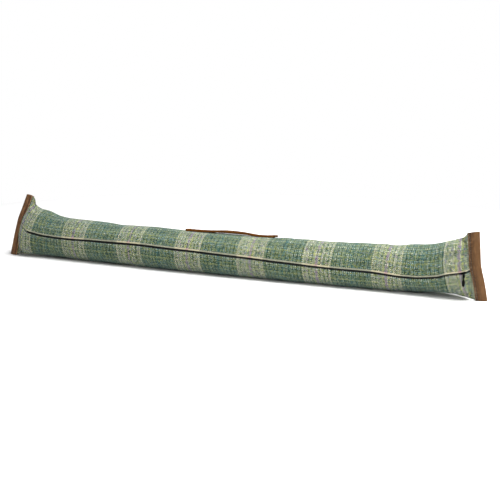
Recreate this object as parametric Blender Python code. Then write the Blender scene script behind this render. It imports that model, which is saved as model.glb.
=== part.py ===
"""A draught excluder for the foot of a door: a long filled cloth tube that lies on the floor.

Each end of the tube is pressed flat into an upright seam, under a folded leather strip. A zip runs
along the front under a raised lip, with its slider and pull at the right end, and a leather carry
strap is stitched along the top. The tube twists a little along its length, so the left seam leans
back and the right one leans forward, and the tube lifts off the floor just before the right seam.

Blender 4.5. Lengths are in millimetres until a mesh is made. +X runs along the tube, -Y is the zip
side, +Z is up, and the origin is on the floor under the middle of the bounding box.
"""

import math
from collections import namedtuple

import bmesh
import bpy
import numpy as np
from mathutils import Matrix, Vector

MM = 0.001
CLEAR = 0.3
# The middle of the bounding box in the tables below, which becomes the origin
MIDDLE = Vector((0.55, 4.46, 0.0))

# Leather strip over each end seam
STRIP_WIDTH = 21.0
STRIP_HEIGHT = 123.6
STRIP_TOP_SLOPE = 3.5
STRIP_BEND = math.radians(15.1)
LEATHER = 1.7
SEAM_HALF_THICKNESS = 1.6
SEAM_END_INSET = 8.0
FLAT_INSET = STRIP_WIDTH + 0.6

# Cloth tube
STATION_STEP = 14.0
END_STATION_STEP = 4.5
END_LENGTH = 60.0
RING_POINTS = 25
RAKE_LENGTH = 130.0

# Zip
ZIP_LEFT, ZIP_RIGHT = -462.0, 466.0
ZIP_FADE_LEFT, ZIP_FADE_RIGHT = 18.0, 3.0
TAPE_WIDTH = 1.9
TAPE_THICKNESS = 0.9
GROOVE_DEPTH = 2.4
SLIDER_X = 456.8
PLATE_LENGTH, PLATE_HEIGHT, PLATE_THICKNESS = 9.0, 5.0, 1.3
BRIDGE_LENGTH, BRIDGE_RISE, BRIDGE_RADIUS = 5.6, 3.0, 0.6
EYE_RADIUS, EYE_WIRE = 1.5, 0.5
PULL_THICKNESS = 1.3

# Carry strap
STRAP_LEFT, STRAP_RIGHT = -91.0, 95.0
STRAP_WIDTH = 20.0
STRAP_STEP = 6.0

# One row for each height on the outer edge of an end seam: where that edge is.
SeamPoint = namedtuple("SeamPoint", "height x y")
LEFT_SEAM = (
    SeamPoint(0.0, -498.5, -7.2),
    SeamPoint(34.0, -497.3, 3.8),
    SeamPoint(69.0, -494.2, 15.1),
    SeamPoint(96.0, -486.2, 21.9),
    SeamPoint(124.0, -477.9, 28.9),
)
RIGHT_SEAM = (
    SeamPoint(0.0, 499.6, -6.4),
    SeamPoint(20.0, 496.2, -8.7),
    SeamPoint(39.0, 492.3, -10.8),
    SeamPoint(54.0, 488.6, -13.0),
    SeamPoint(66.0, 486.4, -14.4),
    SeamPoint(94.0, 484.3, -16.8),
    SeamPoint(124.0, 482.0, -19.4),
)

# One row for each section of the tube between the seams. x, y: its middle. low, high: the heights of
# its edges, where a low under 0 is pressed flat by the floor. depth: half its size front to back.
# filled: the share of its height that the filling swells, the rest being flat cloth at the corners.
Section = namedtuple("Section", "x y low high depth filled")
TUBE = (
    Section(-470.5, 6.6, 3.0, 118.5, 16.5, 0.84),
    Section(-465.0, 6.6, 3.0, 112.6, 23.5, 0.92),
    Section(-459.0, 7.0, 3.2, 103.8, 27.5, 0.98),
    Section(-450.0, 7.6, 3.2, 99.2, 30.0, 1.0),
    Section(-435.0, 8.6, 3.0, 96.4, 32.0, 1.0),
    Section(-420.0, 9.4, 2.5, 93.4, 33.8, 1.0),
    Section(-411.0, 9.7, 2.1, 90.8, 34.7, 1.0),
    Section(-402.0, 9.9, 1.7, 88.3, 35.6, 1.0),
    Section(-394.0, 10.0, 1.2, 86.5, 36.4, 1.0),
    Section(-386.0, 10.0, 0.7, 85.5, 37.2, 1.0),
    Section(-371.0, 10.0, -0.6, 84.1, 38.4, 1.0),
    Section(-350.0, 9.8, -1.7, 83.1, 39.8, 1.0),
    Section(-330.0, 9.3, -2.0, 82.2, 40.6, 1.0),
    Section(-309.0, 8.8, -2.2, 81.4, 41.2, 1.0),
    Section(-220.0, 7.6, -2.2, 78.8, 42.4, 1.0),
    Section(-157.0, 5.0, -2.4, 79.6, 42.2, 1.0),
    Section(-93.0, 4.0, -2.4, 78.6, 42.8, 1.0),
    Section(43.0, 5.0, -2.4, 78.1, 43.0, 1.0),
    Section(96.0, 5.4, -2.4, 78.4, 42.8, 1.0),
    Section(145.0, 6.0, -2.4, 80.1, 42.2, 1.0),
    Section(204.0, 7.5, -2.2, 79.3, 42.4, 1.0),
    Section(242.0, 8.6, -2.2, 79.9, 42.0, 1.0),
    Section(289.0, 9.0, -2.0, 82.4, 41.2, 1.0),
    Section(335.0, 8.6, -1.4, 83.8, 40.8, 1.0),
    Section(373.0, 6.5, 1.2, 87.8, 40.0, 1.0),
    Section(391.0, 4.5, 3.2, 90.4, 39.4, 1.0),
    Section(410.0, 1.0, 4.6, 94.6, 38.2, 1.0),
    Section(433.0, -6.5, 5.2, 103.2, 33.0, 1.0),
    Section(446.0, -11.5, 4.0, 107.6, 28.0, 1.0),
    Section(455.0, -15.2, 2.4, 110.4, 22.0, 0.96),
    Section(460.0, -17.2, 1.6, 112.8, 16.5, 0.88),
    Section(463.6, -18.6, 1.2, 116.0, 9.0, 0.74),
)

# Where the zip runs round the tube, in degrees up from the middle of the front.
ZipPoint = namedtuple("ZipPoint", "x angle")
ZIP = (
    ZipPoint(-475.0, 3.0),
    ZipPoint(-465.0, 7.4),
    ZipPoint(-459.0, 10.6),
    ZipPoint(-454.0, 9.8),
    ZipPoint(-446.0, 5.6),
    ZipPoint(-436.0, 4.0),
    ZipPoint(-420.0, 3.8),
    ZipPoint(-405.0, 4.8),
    ZipPoint(-390.0, 6.6),
    ZipPoint(-370.0, 8.0),
    ZipPoint(-320.0, 11.0),
    ZipPoint(-280.0, 13.5),
    ZipPoint(-194.0, 16.0),
    ZipPoint(-132.0, 14.5),
    ZipPoint(-70.0, 13.5),
    ZipPoint(-9.0, 11.0),
    ZipPoint(64.0, 8.0),
    ZipPoint(153.0, 2.0),
    ZipPoint(221.0, -0.5),
    ZipPoint(297.0, -3.5),
    ZipPoint(350.0, -10.0),
    ZipPoint(384.0, -13.2),
    ZipPoint(407.0, -12.4),
    ZipPoint(429.0, -8.4),
    ZipPoint(440.0, -7.0),
    ZipPoint(450.0, -5.8),
    ZipPoint(459.0, -4.8),
    ZipPoint(467.0, -6.6),
)

# The cloth across the zip. along: how far above the zip, over the surface. lift: how far off it.
LipPoint = namedtuple("LipPoint", "along lift")
ZIP_PROFILE = (
    LipPoint(-8.5, 0.0),
    LipPoint(-3.6, 0.5),
    LipPoint(-1.5, -0.2),
    LipPoint(-1.3, -GROOVE_DEPTH),
    LipPoint(1.3, -GROOVE_DEPTH),
    LipPoint(1.2, 0.6),
    LipPoint(2.6, 1.7),
    LipPoint(4.9, 1.2),
    LipPoint(8.5, 0.0),
)

# Soft folds of the cloth, each from one place to another. A depth above 0 is a trough.
Fold = namedtuple("Fold", "x_from angle_from x_to angle_to width depth")
FOLDS = (
    Fold(-468.0, -58.0, -436.0, -78.0, 7.0, 4.5),
    Fold(-466.0, 62.0, -440.0, 80.0, 6.0, 3.0),
    Fold(-466.0, 28.0, -438.0, 22.0, 5.0, 1.4),
    Fold(-467.0, -26.0, -444.0, -20.0, 5.0, 1.2),
    Fold(-466.0, 122.0, -440.0, 104.0, 6.0, 3.0),
    Fold(-467.0, 152.0, -436.0, 158.0, 6.0, 1.6),
    Fold(-467.0, 208.0, -438.0, 200.0, 6.0, 1.6),
    Fold(-468.0, 236.0, -438.0, 256.0, 7.0, 3.5),
    Fold(461.0, -52.0, 432.0, -74.0, 7.0, 3.6),
    Fold(461.0, 60.0, 440.0, 78.0, 6.0, 2.4),
    Fold(461.0, -24.0, 440.0, -30.0, 5.0, 1.6),
    Fold(460.0, 30.0, 436.0, 36.0, 5.0, 1.2),
    Fold(461.0, 118.0, 438.0, 102.0, 6.0, 2.6),
    Fold(461.0, 150.0, 436.0, 156.0, 6.0, 1.6),
    Fold(461.0, 206.0, 438.0, 200.0, 6.0, 1.6),
    Fold(461.0, 234.0, 434.0, 252.0, 7.0, 3.2),
    Fold(-392.0, 70.0, -352.0, 108.0, 16.0, 1.6),
    Fold(-250.0, 55.0, -238.0, 118.0, 14.0, 1.0),
    Fold(176.0, 50.0, 184.0, 112.0, 14.0, 0.9),
    Fold(318.0, 62.0, 330.0, 118.0, 13.0, 1.1),
    Fold(352.0, -64.0, 392.0, -40.0, 16.0, 1.8),
    Fold(-86.0, 98.0, -58.0, 97.0, 11.0, 0.9),
    Fold(60.0, 98.0, 84.0, 100.0, 11.0, 0.8),
)

# The carry strap. rise: how far the middle of its underside stands off the cloth. thickness: more in
# its arch and at its folded right end. angle: where its middle lies round the tube, in degrees up from
# the middle of the front. lean: how far it rolls back over the tube, in degrees.
StrapRow = namedtuple("StrapRow", "x rise thickness angle lean")
STRAP = (
    StrapRow(-91.0, 0.5, 3.0, 98.0, 0.0),
    StrapRow(-84.0, 0.5, 2.9, 98.0, 0.0),
    StrapRow(-76.0, 0.5, 2.7, 97.6, 0.0),
    StrapRow(-61.0, 0.5, 2.7, 97.2, 0.0),
    StrapRow(-49.0, 0.5, 2.9, 97.0, 0.5),
    StrapRow(-37.0, 0.6, 3.1, 97.0, 4.5),
    StrapRow(-25.0, 0.8, 3.3, 97.0, 7.5),
    StrapRow(-13.0, 1.2, 3.5, 97.0, 9.5),
    StrapRow(0.0, 1.6, 3.6, 97.0, 11.5),
    StrapRow(14.0, 1.6, 3.6, 97.2, 11.5),
    StrapRow(29.0, 1.3, 3.5, 97.6, 9.5),
    StrapRow(41.0, 0.9, 3.3, 98.2, 7.5),
    StrapRow(53.0, 0.6, 3.1, 98.8, 4.0),
    StrapRow(65.0, 0.5, 2.8, 99.2, 0.5),
    StrapRow(76.0, 0.5, 2.7, 99.8, 0.0),
    StrapRow(86.0, 0.5, 3.1, 100.3, 0.0),
    StrapRow(95.0, 0.5, 3.8, 100.6, 0.0),
)

# Half of the pull tab's outline, from its neck to its tip.
TabPoint = namedtuple("TabPoint", "down half_width")
PULL_TAB = (
    TabPoint(1.2, 1.4),
    TabPoint(2.2, 2.0),
    TabPoint(6.4, 2.0),
    TabPoint(8.0, 0.9),
    TabPoint(9.4, 0.9),
    TabPoint(12.4, 2.1),
    TabPoint(15.6, 2.7),
    TabPoint(19.4, 2.3),
    TabPoint(22.4, 1.2),
    TabPoint(23.6, 0.4),
)


def smooth_table(rows):
    """A function that gives a row's values at any place in its first column, with no overshoot."""
    table = np.array(rows, float)
    place, values = table[:, 0], table[:, 1:]
    step = np.diff(place)[:, None]
    slope = np.diff(values, axis=0) / step
    before, after = slope[:-1], slope[1:]
    same_way = before * after > 0
    tangent = np.empty_like(values)
    tangent[0], tangent[-1] = slope[0], slope[-1]
    tangent[1:-1] = np.where(same_way, 2 * before * after / np.where(same_way, before + after, 1), 0)

    def at(where):
        row = int(np.clip(np.searchsorted(place, where) - 1, 0, len(place) - 2))
        width = step[row, 0]
        t = float(np.clip((where - place[row]) / width, 0, 1))
        rest = 1 - t
        ends = values[row] * rest * rest * (1 + 2 * t) + values[row + 1] * t * t * (3 - 2 * t)
        return ends + width * t * rest * (tangent[row] * rest - tangent[row + 1] * t)

    return at


def eased(t):
    """0 up to t = 0 and 1 from t = 1, with a soft step between."""
    t = min(max(t, 0.0), 1.0)
    return t * t * (3 - 2 * t)


class EndSeam:
    """One flat end seam: the upright surface that the cloth and the leather strip share."""

    def __init__(self, rows, side):
        self.side = side
        self.edge = smooth_table(rows)
        self.inward = Vector((-side * math.cos(STRIP_BEND), -math.sin(STRIP_BEND), 0.0))

    def point(self, inset, height):
        """The middle of the seam's thickness, this far in from its outer edge."""
        x, y = self.edge(height)
        return Vector((x, y, height)) + self.inward * inset

    def front(self, height):
        """The direction square to the seam's surface, towards the zip side."""
        along = self.point(0, min(height + 4, 124)) - self.point(0, max(height - 4, 0))
        square = along.cross(self.inward).normalized()
        return square if square.y < 0 else -square

    def flat_section(self, inset, low, high):
        """The tube's section where it lies flat inside the leather strip."""
        middle = self.point(inset, STRIP_HEIGHT / 2)
        return Section(middle.x, middle.y, low, high, SEAM_HALF_THICKNESS, 0.0)

    def rake(self, x, height):
        """How far the seam's slant moves the cloth at this height from its section's middle."""
        distance = (self.point(STRIP_WIDTH, STRIP_HEIGHT / 2).x - x) * self.side
        share = 1 - eased(distance / RAKE_LENGTH)
        return (self.edge(height) - self.edge(STRIP_HEIGHT / 2)) * share


LEFT = EndSeam(LEFT_SEAM, -1)
RIGHT = EndSeam(RIGHT_SEAM, 1)
SECTIONS = (
    LEFT.flat_section(SEAM_END_INSET, 0.0, 122.0),
    LEFT.flat_section((SEAM_END_INSET + FLAT_INSET) / 2, 0.0, 121.2),
    LEFT.flat_section(FLAT_INSET, 1.5, 120.2),
    *TUBE,
    RIGHT.flat_section(FLAT_INSET, 0.3, 120.6),
    RIGHT.flat_section((SEAM_END_INSET + FLAT_INSET) / 2, 0.0, 121.4),
    RIGHT.flat_section(SEAM_END_INSET, 0.0, 122.0),
)
section_values = smooth_table(SECTIONS)
zip_angle_values = smooth_table(ZIP)
strap_values = smooth_table(STRAP)


def section_at(x):
    return Section(x, *section_values(x))


def zip_angle(x):
    return float(zip_angle_values(x)[0])


def fold_depth(x, angle, radius):
    """How deep the soft folds are at this place on the tube."""
    total = 0.0
    for fold in FOLDS:
        turn = (angle - fold.angle_from + 180) % 360 - 180
        run = Vector((fold.x_to - fold.x_from, math.radians(fold.angle_to - fold.angle_from) * radius))
        here = Vector((x - fold.x_from, math.radians(turn) * radius))
        share = min(max(here.dot(run) / run.length_squared, 0.0), 1.0)
        distance = (here - run * share).length / fold.width
        total += fold.depth * math.exp(-distance * distance) * (1 - 0.55 * share)
    return total


def on_section(section, angle):
    """The undented cloth at an angle round the tube, in degrees from the middle of the front."""
    turn = math.radians(angle)
    half_height = (section.high - section.low) / 2
    height = (section.high + section.low) / 2 + half_height * math.sin(turn)
    across = math.sin(turn) / max(section.filled, 0.01)
    softness = 0.5 + 1.1 * (1 - section.filled)
    swell = section.depth * max(0.0, 1 - across * across) ** softness if section.filled else 0.0
    flat = SEAM_HALF_THICKNESS * math.sqrt(max(0.0, 1 - math.sin(turn) ** 8))
    out = math.copysign(math.hypot(swell, flat * (1.0 - 0.7 * section.filled)), math.cos(turn))
    if section.filled >= 1:
        out = section.depth * math.cos(turn)
    seam = LEFT if section.x < 0 else RIGHT
    rake_x, rake_y = seam.rake(section.x, height)
    return Vector((section.x + rake_x, section.y + rake_y - out, height))


def surface_frame(x, angle):
    """A point of the cloth, the direction up round it and the direction out of it."""
    section = section_at(x)
    point = on_section(section, angle)
    up = on_section(section, angle + 1) - on_section(section, angle - 1)
    up.x = 0.0
    up.normalize()
    out = Vector((0.0, -up.z, up.y))
    radius = (section.high - section.low) / 2
    swollen = eased((section.depth - SEAM_HALF_THICKNESS) / 14)
    point -= out * fold_depth(x, angle, radius) * swollen
    return point, up, out


def zip_share(x):
    """1 along the zip, fading to 0 where the seams press the cloth flat."""
    return eased((x - ZIP_LEFT) / ZIP_FADE_LEFT) * eased((ZIP_RIGHT - x) / ZIP_FADE_RIGHT)


def degrees_over(x, along):
    """The angle that a length over the cloth takes up at the front of the tube."""
    section = section_at(x)
    return math.degrees(along / ((section.high - section.low) / 2))


def stations():
    """Where the tube's rings of points are: at each section, and close together at both ends."""
    first, last = SECTIONS[0].x, SECTIONS[-1].x
    places = [first]
    for section, following in zip(SECTIONS, SECTIONS[1:]):
        near_end = min(section.x - first, last - following.x)
        step = END_STATION_STEP if near_end < END_LENGTH else STATION_STEP
        count = math.ceil((following.x - section.x) / step)
        places += [section.x + (following.x - section.x) * i / count for i in range(1, count + 1)]
    return places


def ring(x):
    """The points round the tube at one station, starting just under the zip."""
    share = zip_share(x)
    middle = zip_angle(x)
    points = []
    for row in ZIP_PROFILE:
        point, _, out = surface_frame(x, middle + degrees_over(x, row.along))
        points.append(point + out * row.lift * share)
    above = middle + degrees_over(x, ZIP_PROFILE[-1].along)
    round_to = middle + 360 + degrees_over(x, ZIP_PROFILE[0].along)
    for index in range(1, RING_POINTS + 1):
        angle = above + (round_to - above) * index / (RING_POINTS + 1)
        points.append(surface_frame(x, angle)[0])
    for point in points:
        point.z = max(point.z, 0.0)
    return points


def new_object(name, mesh, material, group):
    mesh.materials.append(material)
    made = bpy.data.objects.new(name, mesh)
    group.objects.link(made)
    return made


def loft(name, rings, caps="fan"):
    """A closed mesh through rings of points: its ends are fans, or strips across a thin folded sheet."""
    shape = bmesh.new()
    rows = [[shape.verts.new((point - MIDDLE) * MM) for point in points] for points in rings]
    count = len(rows[0])
    for row, following in zip(rows, rows[1:]):
        for index in range(count):
            beside = (index + 1) % count
            shape.faces.new((row[index], row[beside], following[beside], following[index]))
    for row in (rows[0], rows[-1]):
        if caps == "fan":
            shape.faces.new(row)
        else:
            for index in range(count // 2 - 1):
                shape.faces.new((row[index], row[index + 1], row[-2 - index], row[-1 - index]))
    bmesh.ops.recalc_face_normals(shape, faces=shape.faces)
    if shape.calc_volume(signed=True) < 0:
        bmesh.ops.reverse_faces(shape, faces=shape.faces)
    mesh = bpy.data.meshes.new(name)
    shape.to_mesh(mesh)
    shape.free()
    mesh.shade_smooth()
    mesh.set_sharp_from_angle(angle=math.radians(40))
    return mesh


def tube_mesh():
    return loft("filled_tube", [ring(x) for x in stations()])


def strip_rings(seam):
    """The leather strip: a sheet folded round the seam, puffed by its fold and pinched at its stitches."""
    inner = SEAM_HALF_THICKNESS + CLEAR
    fold = inner + LEATHER
    sheet = (
        (STRIP_WIDTH, fold - 0.1),
        (STRIP_WIDTH - 2.0, fold + 0.2),
        (STRIP_WIDTH - 4.0, fold - 0.3),
        (STRIP_WIDTH - 6.5, fold + 0.3),
        (11.0, fold + 0.5),
        (6.5, fold + 0.3),
        (3.2, fold - 0.4),
        (1.0, fold - 1.7),
        (0.0, 0.0),
    )
    lining = (
        (STRIP_WIDTH, inner),
        (STRIP_WIDTH - 2.0, inner),
        (STRIP_WIDTH - 4.0, inner),
        (STRIP_WIDTH - 6.5, inner),
        (11.0, inner),
        (7.0, inner),
        (4.6, inner - 0.3),
        (2.8, inner - 1.0),
        (LEATHER + 0.2, 0.0),
    )

    def both_sides(half):
        return [*half, *((inset, -off) for inset, off in reversed(half[:-1]))]

    outline = both_sides(sheet) + both_sides(lining)[::-1]
    rings = []
    for share in np.linspace(0, 1, 15):
        points = []
        for inset, off in outline:
            top = STRIP_HEIGHT - STRIP_TOP_SLOPE * max(inset, 0.0) / STRIP_WIDTH
            height = top * float(share)
            points.append(seam.point(inset, height) + seam.front(height) * off)
            points[-1].z = max(height, 0.0)
        rings.append(points)
    return rings


def strap_rings():
    """The carry strap, with its long edges a little rounded."""
    half = STRAP_WIDTH / 2
    rows = []
    for x in np.arange(STRAP_LEFT, STRAP_RIGHT + 0.1, STRAP_STEP):
        rise, thickness, angle, lean = strap_values(float(x))
        point, up, out = surface_frame(float(x), angle)
        turn = math.radians(lean)
        across = up * math.cos(turn) - out * math.sin(turn)
        lift = out * math.cos(turn) + up * math.sin(turn)
        middle = point + out * rise
        edge = 0.25 * thickness
        outline = (
            (-half, edge),
            (-half + edge, 0.0),
            (0.0, 0.0),
            (half - edge, 0.0),
            (half, edge),
            (half, thickness - edge),
            (half - edge, thickness),
            (0.0, thickness + 0.2),
            (-half + edge, thickness),
            (-half, thickness - edge),
        )
        rows.append([middle + across * along + lift * off for along, off in outline])
    return rows


def tape_rings():
    """The zip's closed teeth: a narrow strip at the bottom of its groove."""
    rows = []
    for x in stations():
        if zip_share(x) < 1:
            continue
        point, up, out = surface_frame(x, zip_angle(x))
        low = -GROOVE_DEPTH + CLEAR + 0.1
        half = TAPE_WIDTH / 2
        corners = ((-half, low), (half, low), (half, low + TAPE_THICKNESS), (-half, low + TAPE_THICKNESS))
        rows.append([point + up * along + out * off for along, off in corners])
    return rows


def slider_frame():
    """A matrix for the slider: X along the zip, Y up over the cloth and Z out of it."""
    x = SLIDER_X
    point, up, out = surface_frame(x, zip_angle(x))
    along = surface_frame(x + 3, zip_angle(x + 3))[0] - surface_frame(x - 3, zip_angle(x - 3))[0]
    along.normalize()
    out = (out - along * out.dot(along)).normalized()
    up = out.cross(along)
    turn = Matrix((along, up, out)).transposed().to_4x4()
    return Matrix.Translation((point - MIDDLE) * MM) @ turn


def box_mesh(size, centre, bevel):
    """A bevelled box as a mesh, in millimetres."""
    shape = bmesh.new()
    bmesh.ops.create_cube(shape, size=1.0)
    bmesh.ops.scale(shape, vec=Vector(size) * MM, verts=shape.verts)
    bmesh.ops.bevel(shape, geom=shape.edges[:], offset=bevel * MM, segments=1, affect="EDGES")
    bmesh.ops.translate(shape, vec=Vector(centre) * MM, verts=shape.verts)
    mesh = bpy.data.meshes.new("box")
    shape.to_mesh(mesh)
    shape.free()
    return mesh


def curve_mesh(points, radius, cyclic=False):
    """A round wire through points, in millimetres, as a closed mesh."""
    curve = bpy.data.curves.new("wire", "CURVE")
    curve.dimensions = "3D"
    curve.bevel_depth = radius * MM
    curve.bevel_resolution = 1
    curve.use_fill_caps = True
    spline = curve.splines.new("POLY")
    spline.points.add(len(points) - 1)
    spline.use_cyclic_u = cyclic
    for slot, point in zip(spline.points, points):
        slot.co = (*(Vector(point) * MM), 1.0)
    return evaluated_copy(curve)


def evaluated_copy(curve):
    """The mesh that a curve makes, with its caps welded on."""
    holder = bpy.data.objects.new("holder", curve)
    bpy.context.scene.collection.objects.link(holder)
    bpy.context.view_layer.update()
    seen = holder.evaluated_get(bpy.context.evaluated_depsgraph_get())
    mesh = bpy.data.meshes.new_from_object(seen)
    bpy.data.objects.remove(holder)
    shape = bmesh.new()
    shape.from_mesh(mesh)
    bmesh.ops.remove_doubles(shape, verts=shape.verts, dist=1e-6)
    bmesh.ops.recalc_face_normals(shape, faces=shape.faces)
    shape.to_mesh(mesh)
    shape.free()
    return mesh


def joined(name, meshes, material, group, cutters):
    """One object made of overlapping closed meshes by Boolean unions."""
    whole = new_object(name, meshes[0], material, group)
    for index, mesh in enumerate(meshes[1:]):
        piece = bpy.data.objects.new(f"{name}_piece_{index}", mesh)
        piece.hide_render = True
        piece.display_type = "WIRE"
        cutters.objects.link(piece)
        piece.parent = whole
        union = whole.modifiers.new(f"union_{index}", "BOOLEAN")
        union.operation = "UNION"
        union.object = piece
    return whole


def make_slider(material, group, cutters):
    """The slider: a plate over the groove, a stem down into it and a bridge that holds the pull."""
    front = ZIP_PROFILE[6].lift + CLEAR
    middle = front + PLATE_THICKNESS / 2
    plate = box_mesh((PLATE_LENGTH, PLATE_HEIGHT, PLATE_THICKNESS), (0.0, 0.0, middle), 0.35)
    stem_low = -GROOVE_DEPTH + CLEAR + 0.1 + TAPE_THICKNESS + CLEAR
    stem_size = (5.0, 1.2, middle - stem_low)
    stem = box_mesh(stem_size, (0.0, 0.0, (middle + stem_low) / 2), 0.15)
    half = BRIDGE_LENGTH / 2
    top = front + PLATE_THICKNESS + BRIDGE_RISE - BRIDGE_RADIUS
    bridge = curve_mesh(
        ((-half, 0, middle), (-half, 0, top - 0.7), (-half + 0.7, 0, top), (half - 0.7, 0, top),
         (half, 0, top - 0.7), (half, 0, middle)),
        BRIDGE_RADIUS,
    )
    slider = joined("zip_slider", [plate, stem, bridge], material, group, cutters)
    slider.matrix_world = slider_frame()
    return top


def make_pull(bridge_height, material, group, cutters):
    """The pull: an eye round the slider's bridge and a drop-shaped tab that hangs straight down."""
    eye = curve_mesh(
        [
            (0.0, EYE_RADIUS * math.cos(turn), EYE_RADIUS * math.sin(turn))
            for turn in np.linspace(0, 2 * math.pi, 12, endpoint=False)
        ],
        EYE_WIRE,
        cyclic=True,
    )
    outline = bpy.data.curves.new("tab", "CURVE")
    outline.dimensions = "2D"
    outline.fill_mode = "BOTH"
    outline.extrude = PULL_THICKNESS / 2 * MM
    outline.bevel_depth = 0.25 * MM
    outline.bevel_resolution = 0
    spline = outline.splines.new("POLY")
    left = [(-row.half_width, -row.down) for row in PULL_TAB]
    right = [(row.half_width, -row.down) for row in reversed(PULL_TAB)]
    spline.points.add(len(left + right) - 1)
    spline.use_cyclic_u = True
    for slot, (across, down) in zip(spline.points, left + right):
        slot.co = (across * MM, down * MM, 0.0, 1.0)
    tab = evaluated_copy(outline)
    tab.transform(Matrix.Rotation(math.radians(90), 4, "X"))
    pull = joined("zip_pull", [tab, eye], material, group, cutters)
    frame = slider_frame()
    bar = frame @ Vector((0.0, 0.0, (bridge_height) * MM))
    drop = EYE_RADIUS - EYE_WIRE - BRIDGE_RADIUS - CLEAR
    pull.matrix_world = Matrix.Translation(bar - Vector((0.0, 0.0, drop * MM)))


def material(name, colour, roughness, metallic=0.0):
    made = bpy.data.materials.new(name)
    made.use_nodes = True
    shader = made.node_tree.nodes["Principled BSDF"]
    shader.inputs["Base Color"].default_value = (*colour, 1.0)
    shader.inputs["Roughness"].default_value = roughness
    shader.inputs["Metallic"].default_value = metallic
    return made


def collection(name):
    made = bpy.data.collections.new(name)
    bpy.context.scene.collection.children.link(made)
    return made


def main():
    for existing in list(bpy.data.objects):
        bpy.data.objects.remove(existing)
    group = collection("draught_excluder")
    cutters = collection("cutters")
    tweed = material("green_tweed", (0.11, 0.17, 0.12), 0.95)
    dark_leather = material("dark_brown_leather", (0.12, 0.05, 0.025), 0.6)
    mid_leather = material("mid_brown_leather", (0.2, 0.1, 0.045), 0.6)
    strap_leather = material("chestnut_leather", (0.2, 0.06, 0.015), 0.55)
    black_tape = material("black_zip_tape", (0.008, 0.008, 0.009), 0.8)
    black_enamel = material("black_enamel", (0.01, 0.01, 0.011), 0.35, 0.2)

    new_object("filled_tube", tube_mesh(), tweed, group)
    new_object("end_strip_left", loft("end_strip_left", strip_rings(LEFT), "sheet"), dark_leather, group)
    new_object("end_strip_right", loft("end_strip_right", strip_rings(RIGHT), "sheet"), mid_leather, group)
    new_object("carry_strap", loft("carry_strap", strap_rings()), strap_leather, group)
    new_object("zip_tape", loft("zip_tape", tape_rings()), black_tape, group)
    bridge_height = make_slider(black_enamel, group, cutters)
    make_pull(bridge_height, black_enamel, group, cutters)


main()
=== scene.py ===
"""Looks of the draught excluder: tweed, leather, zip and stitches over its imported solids.

The tables of sizes are those of the part's source, in millimetres: +X runs along the tube, -Y is
the zip side and +Z is up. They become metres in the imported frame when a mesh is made.
"""

import logging
import math
from dataclasses import dataclass, field
from enum import Enum
from typing import Callable, NamedTuple, Sequence, Union

import bmesh
import bpy
import numpy as np
from mathutils import Matrix, Vector


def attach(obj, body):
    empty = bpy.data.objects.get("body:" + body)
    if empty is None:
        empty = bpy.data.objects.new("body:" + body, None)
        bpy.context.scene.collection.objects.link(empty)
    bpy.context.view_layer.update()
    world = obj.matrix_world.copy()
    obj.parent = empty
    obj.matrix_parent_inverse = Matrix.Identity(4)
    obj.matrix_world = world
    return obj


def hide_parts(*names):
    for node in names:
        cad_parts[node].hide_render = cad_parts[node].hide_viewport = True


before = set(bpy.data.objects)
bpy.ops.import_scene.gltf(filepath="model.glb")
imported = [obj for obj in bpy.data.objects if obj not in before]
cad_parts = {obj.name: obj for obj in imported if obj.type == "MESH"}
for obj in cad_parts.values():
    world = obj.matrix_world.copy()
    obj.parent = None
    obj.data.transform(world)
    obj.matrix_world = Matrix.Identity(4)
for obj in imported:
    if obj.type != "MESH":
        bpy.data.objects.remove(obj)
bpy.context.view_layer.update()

LOG = logging.getLogger("draught_excluder")
MM = 0.001
CLEAR = 0.3
# The middle of the tables below, which becomes the origin
MIDDLE = np.array((0.55, 4.46, 0.0))
SEAM_HALF_THICKNESS = 1.6
LEATHER = 1.7
STRIP_WIDTH = 21.0
STRIP_HEIGHT = 123.6
# How high the seams' tables reach
SEAM_TOP = 124.0
STRIP_TOP_SLOPE = 3.5
STRIP_BEND = math.radians(15.1)
RAKE_LENGTH = 130.0
GROOVE_DEPTH = 2.4
# How far it is round the cloth, and how much thicker than its seam a fully swollen section is
CLOTH_ROUND = 262.0
SWELL_DEPTH = 14.0
# Where the zip's groove starts and ends, and over what lengths it fades in and out
ZIP_START, ZIP_FADE_IN, ZIP_END, ZIP_FADE_OUT = -462.0, 18.0, 466.0, 3.0
# A stitch's run over the leather, and how it arches over that run
STITCH_RUN = np.linspace(-0.5, 0.5, 7)
STITCH_ARCH = 1 - (2 * STITCH_RUN) ** 4

Array = np.ndarray
Colour = tuple[float, float, float]
Mesh, Material, Piece = bpy.types.Mesh, bpy.types.Material, bpy.types.Object


class SeamPoint(NamedTuple):
    """Where the outer edge of an end seam is at one height."""

    height: float
    x: float
    y: float


class Section(NamedTuple):
    """One upright section of the tube, as in the part's source."""

    x: float
    y: float
    low: float
    high: float
    depth: float
    filled: float


class Fold(NamedTuple):
    """A soft fold of the cloth from one place to another; a depth above 0 is a trough."""

    x_from: float
    angle_from: float
    x_to: float
    angle_to: float
    width: float
    depth: float


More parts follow.
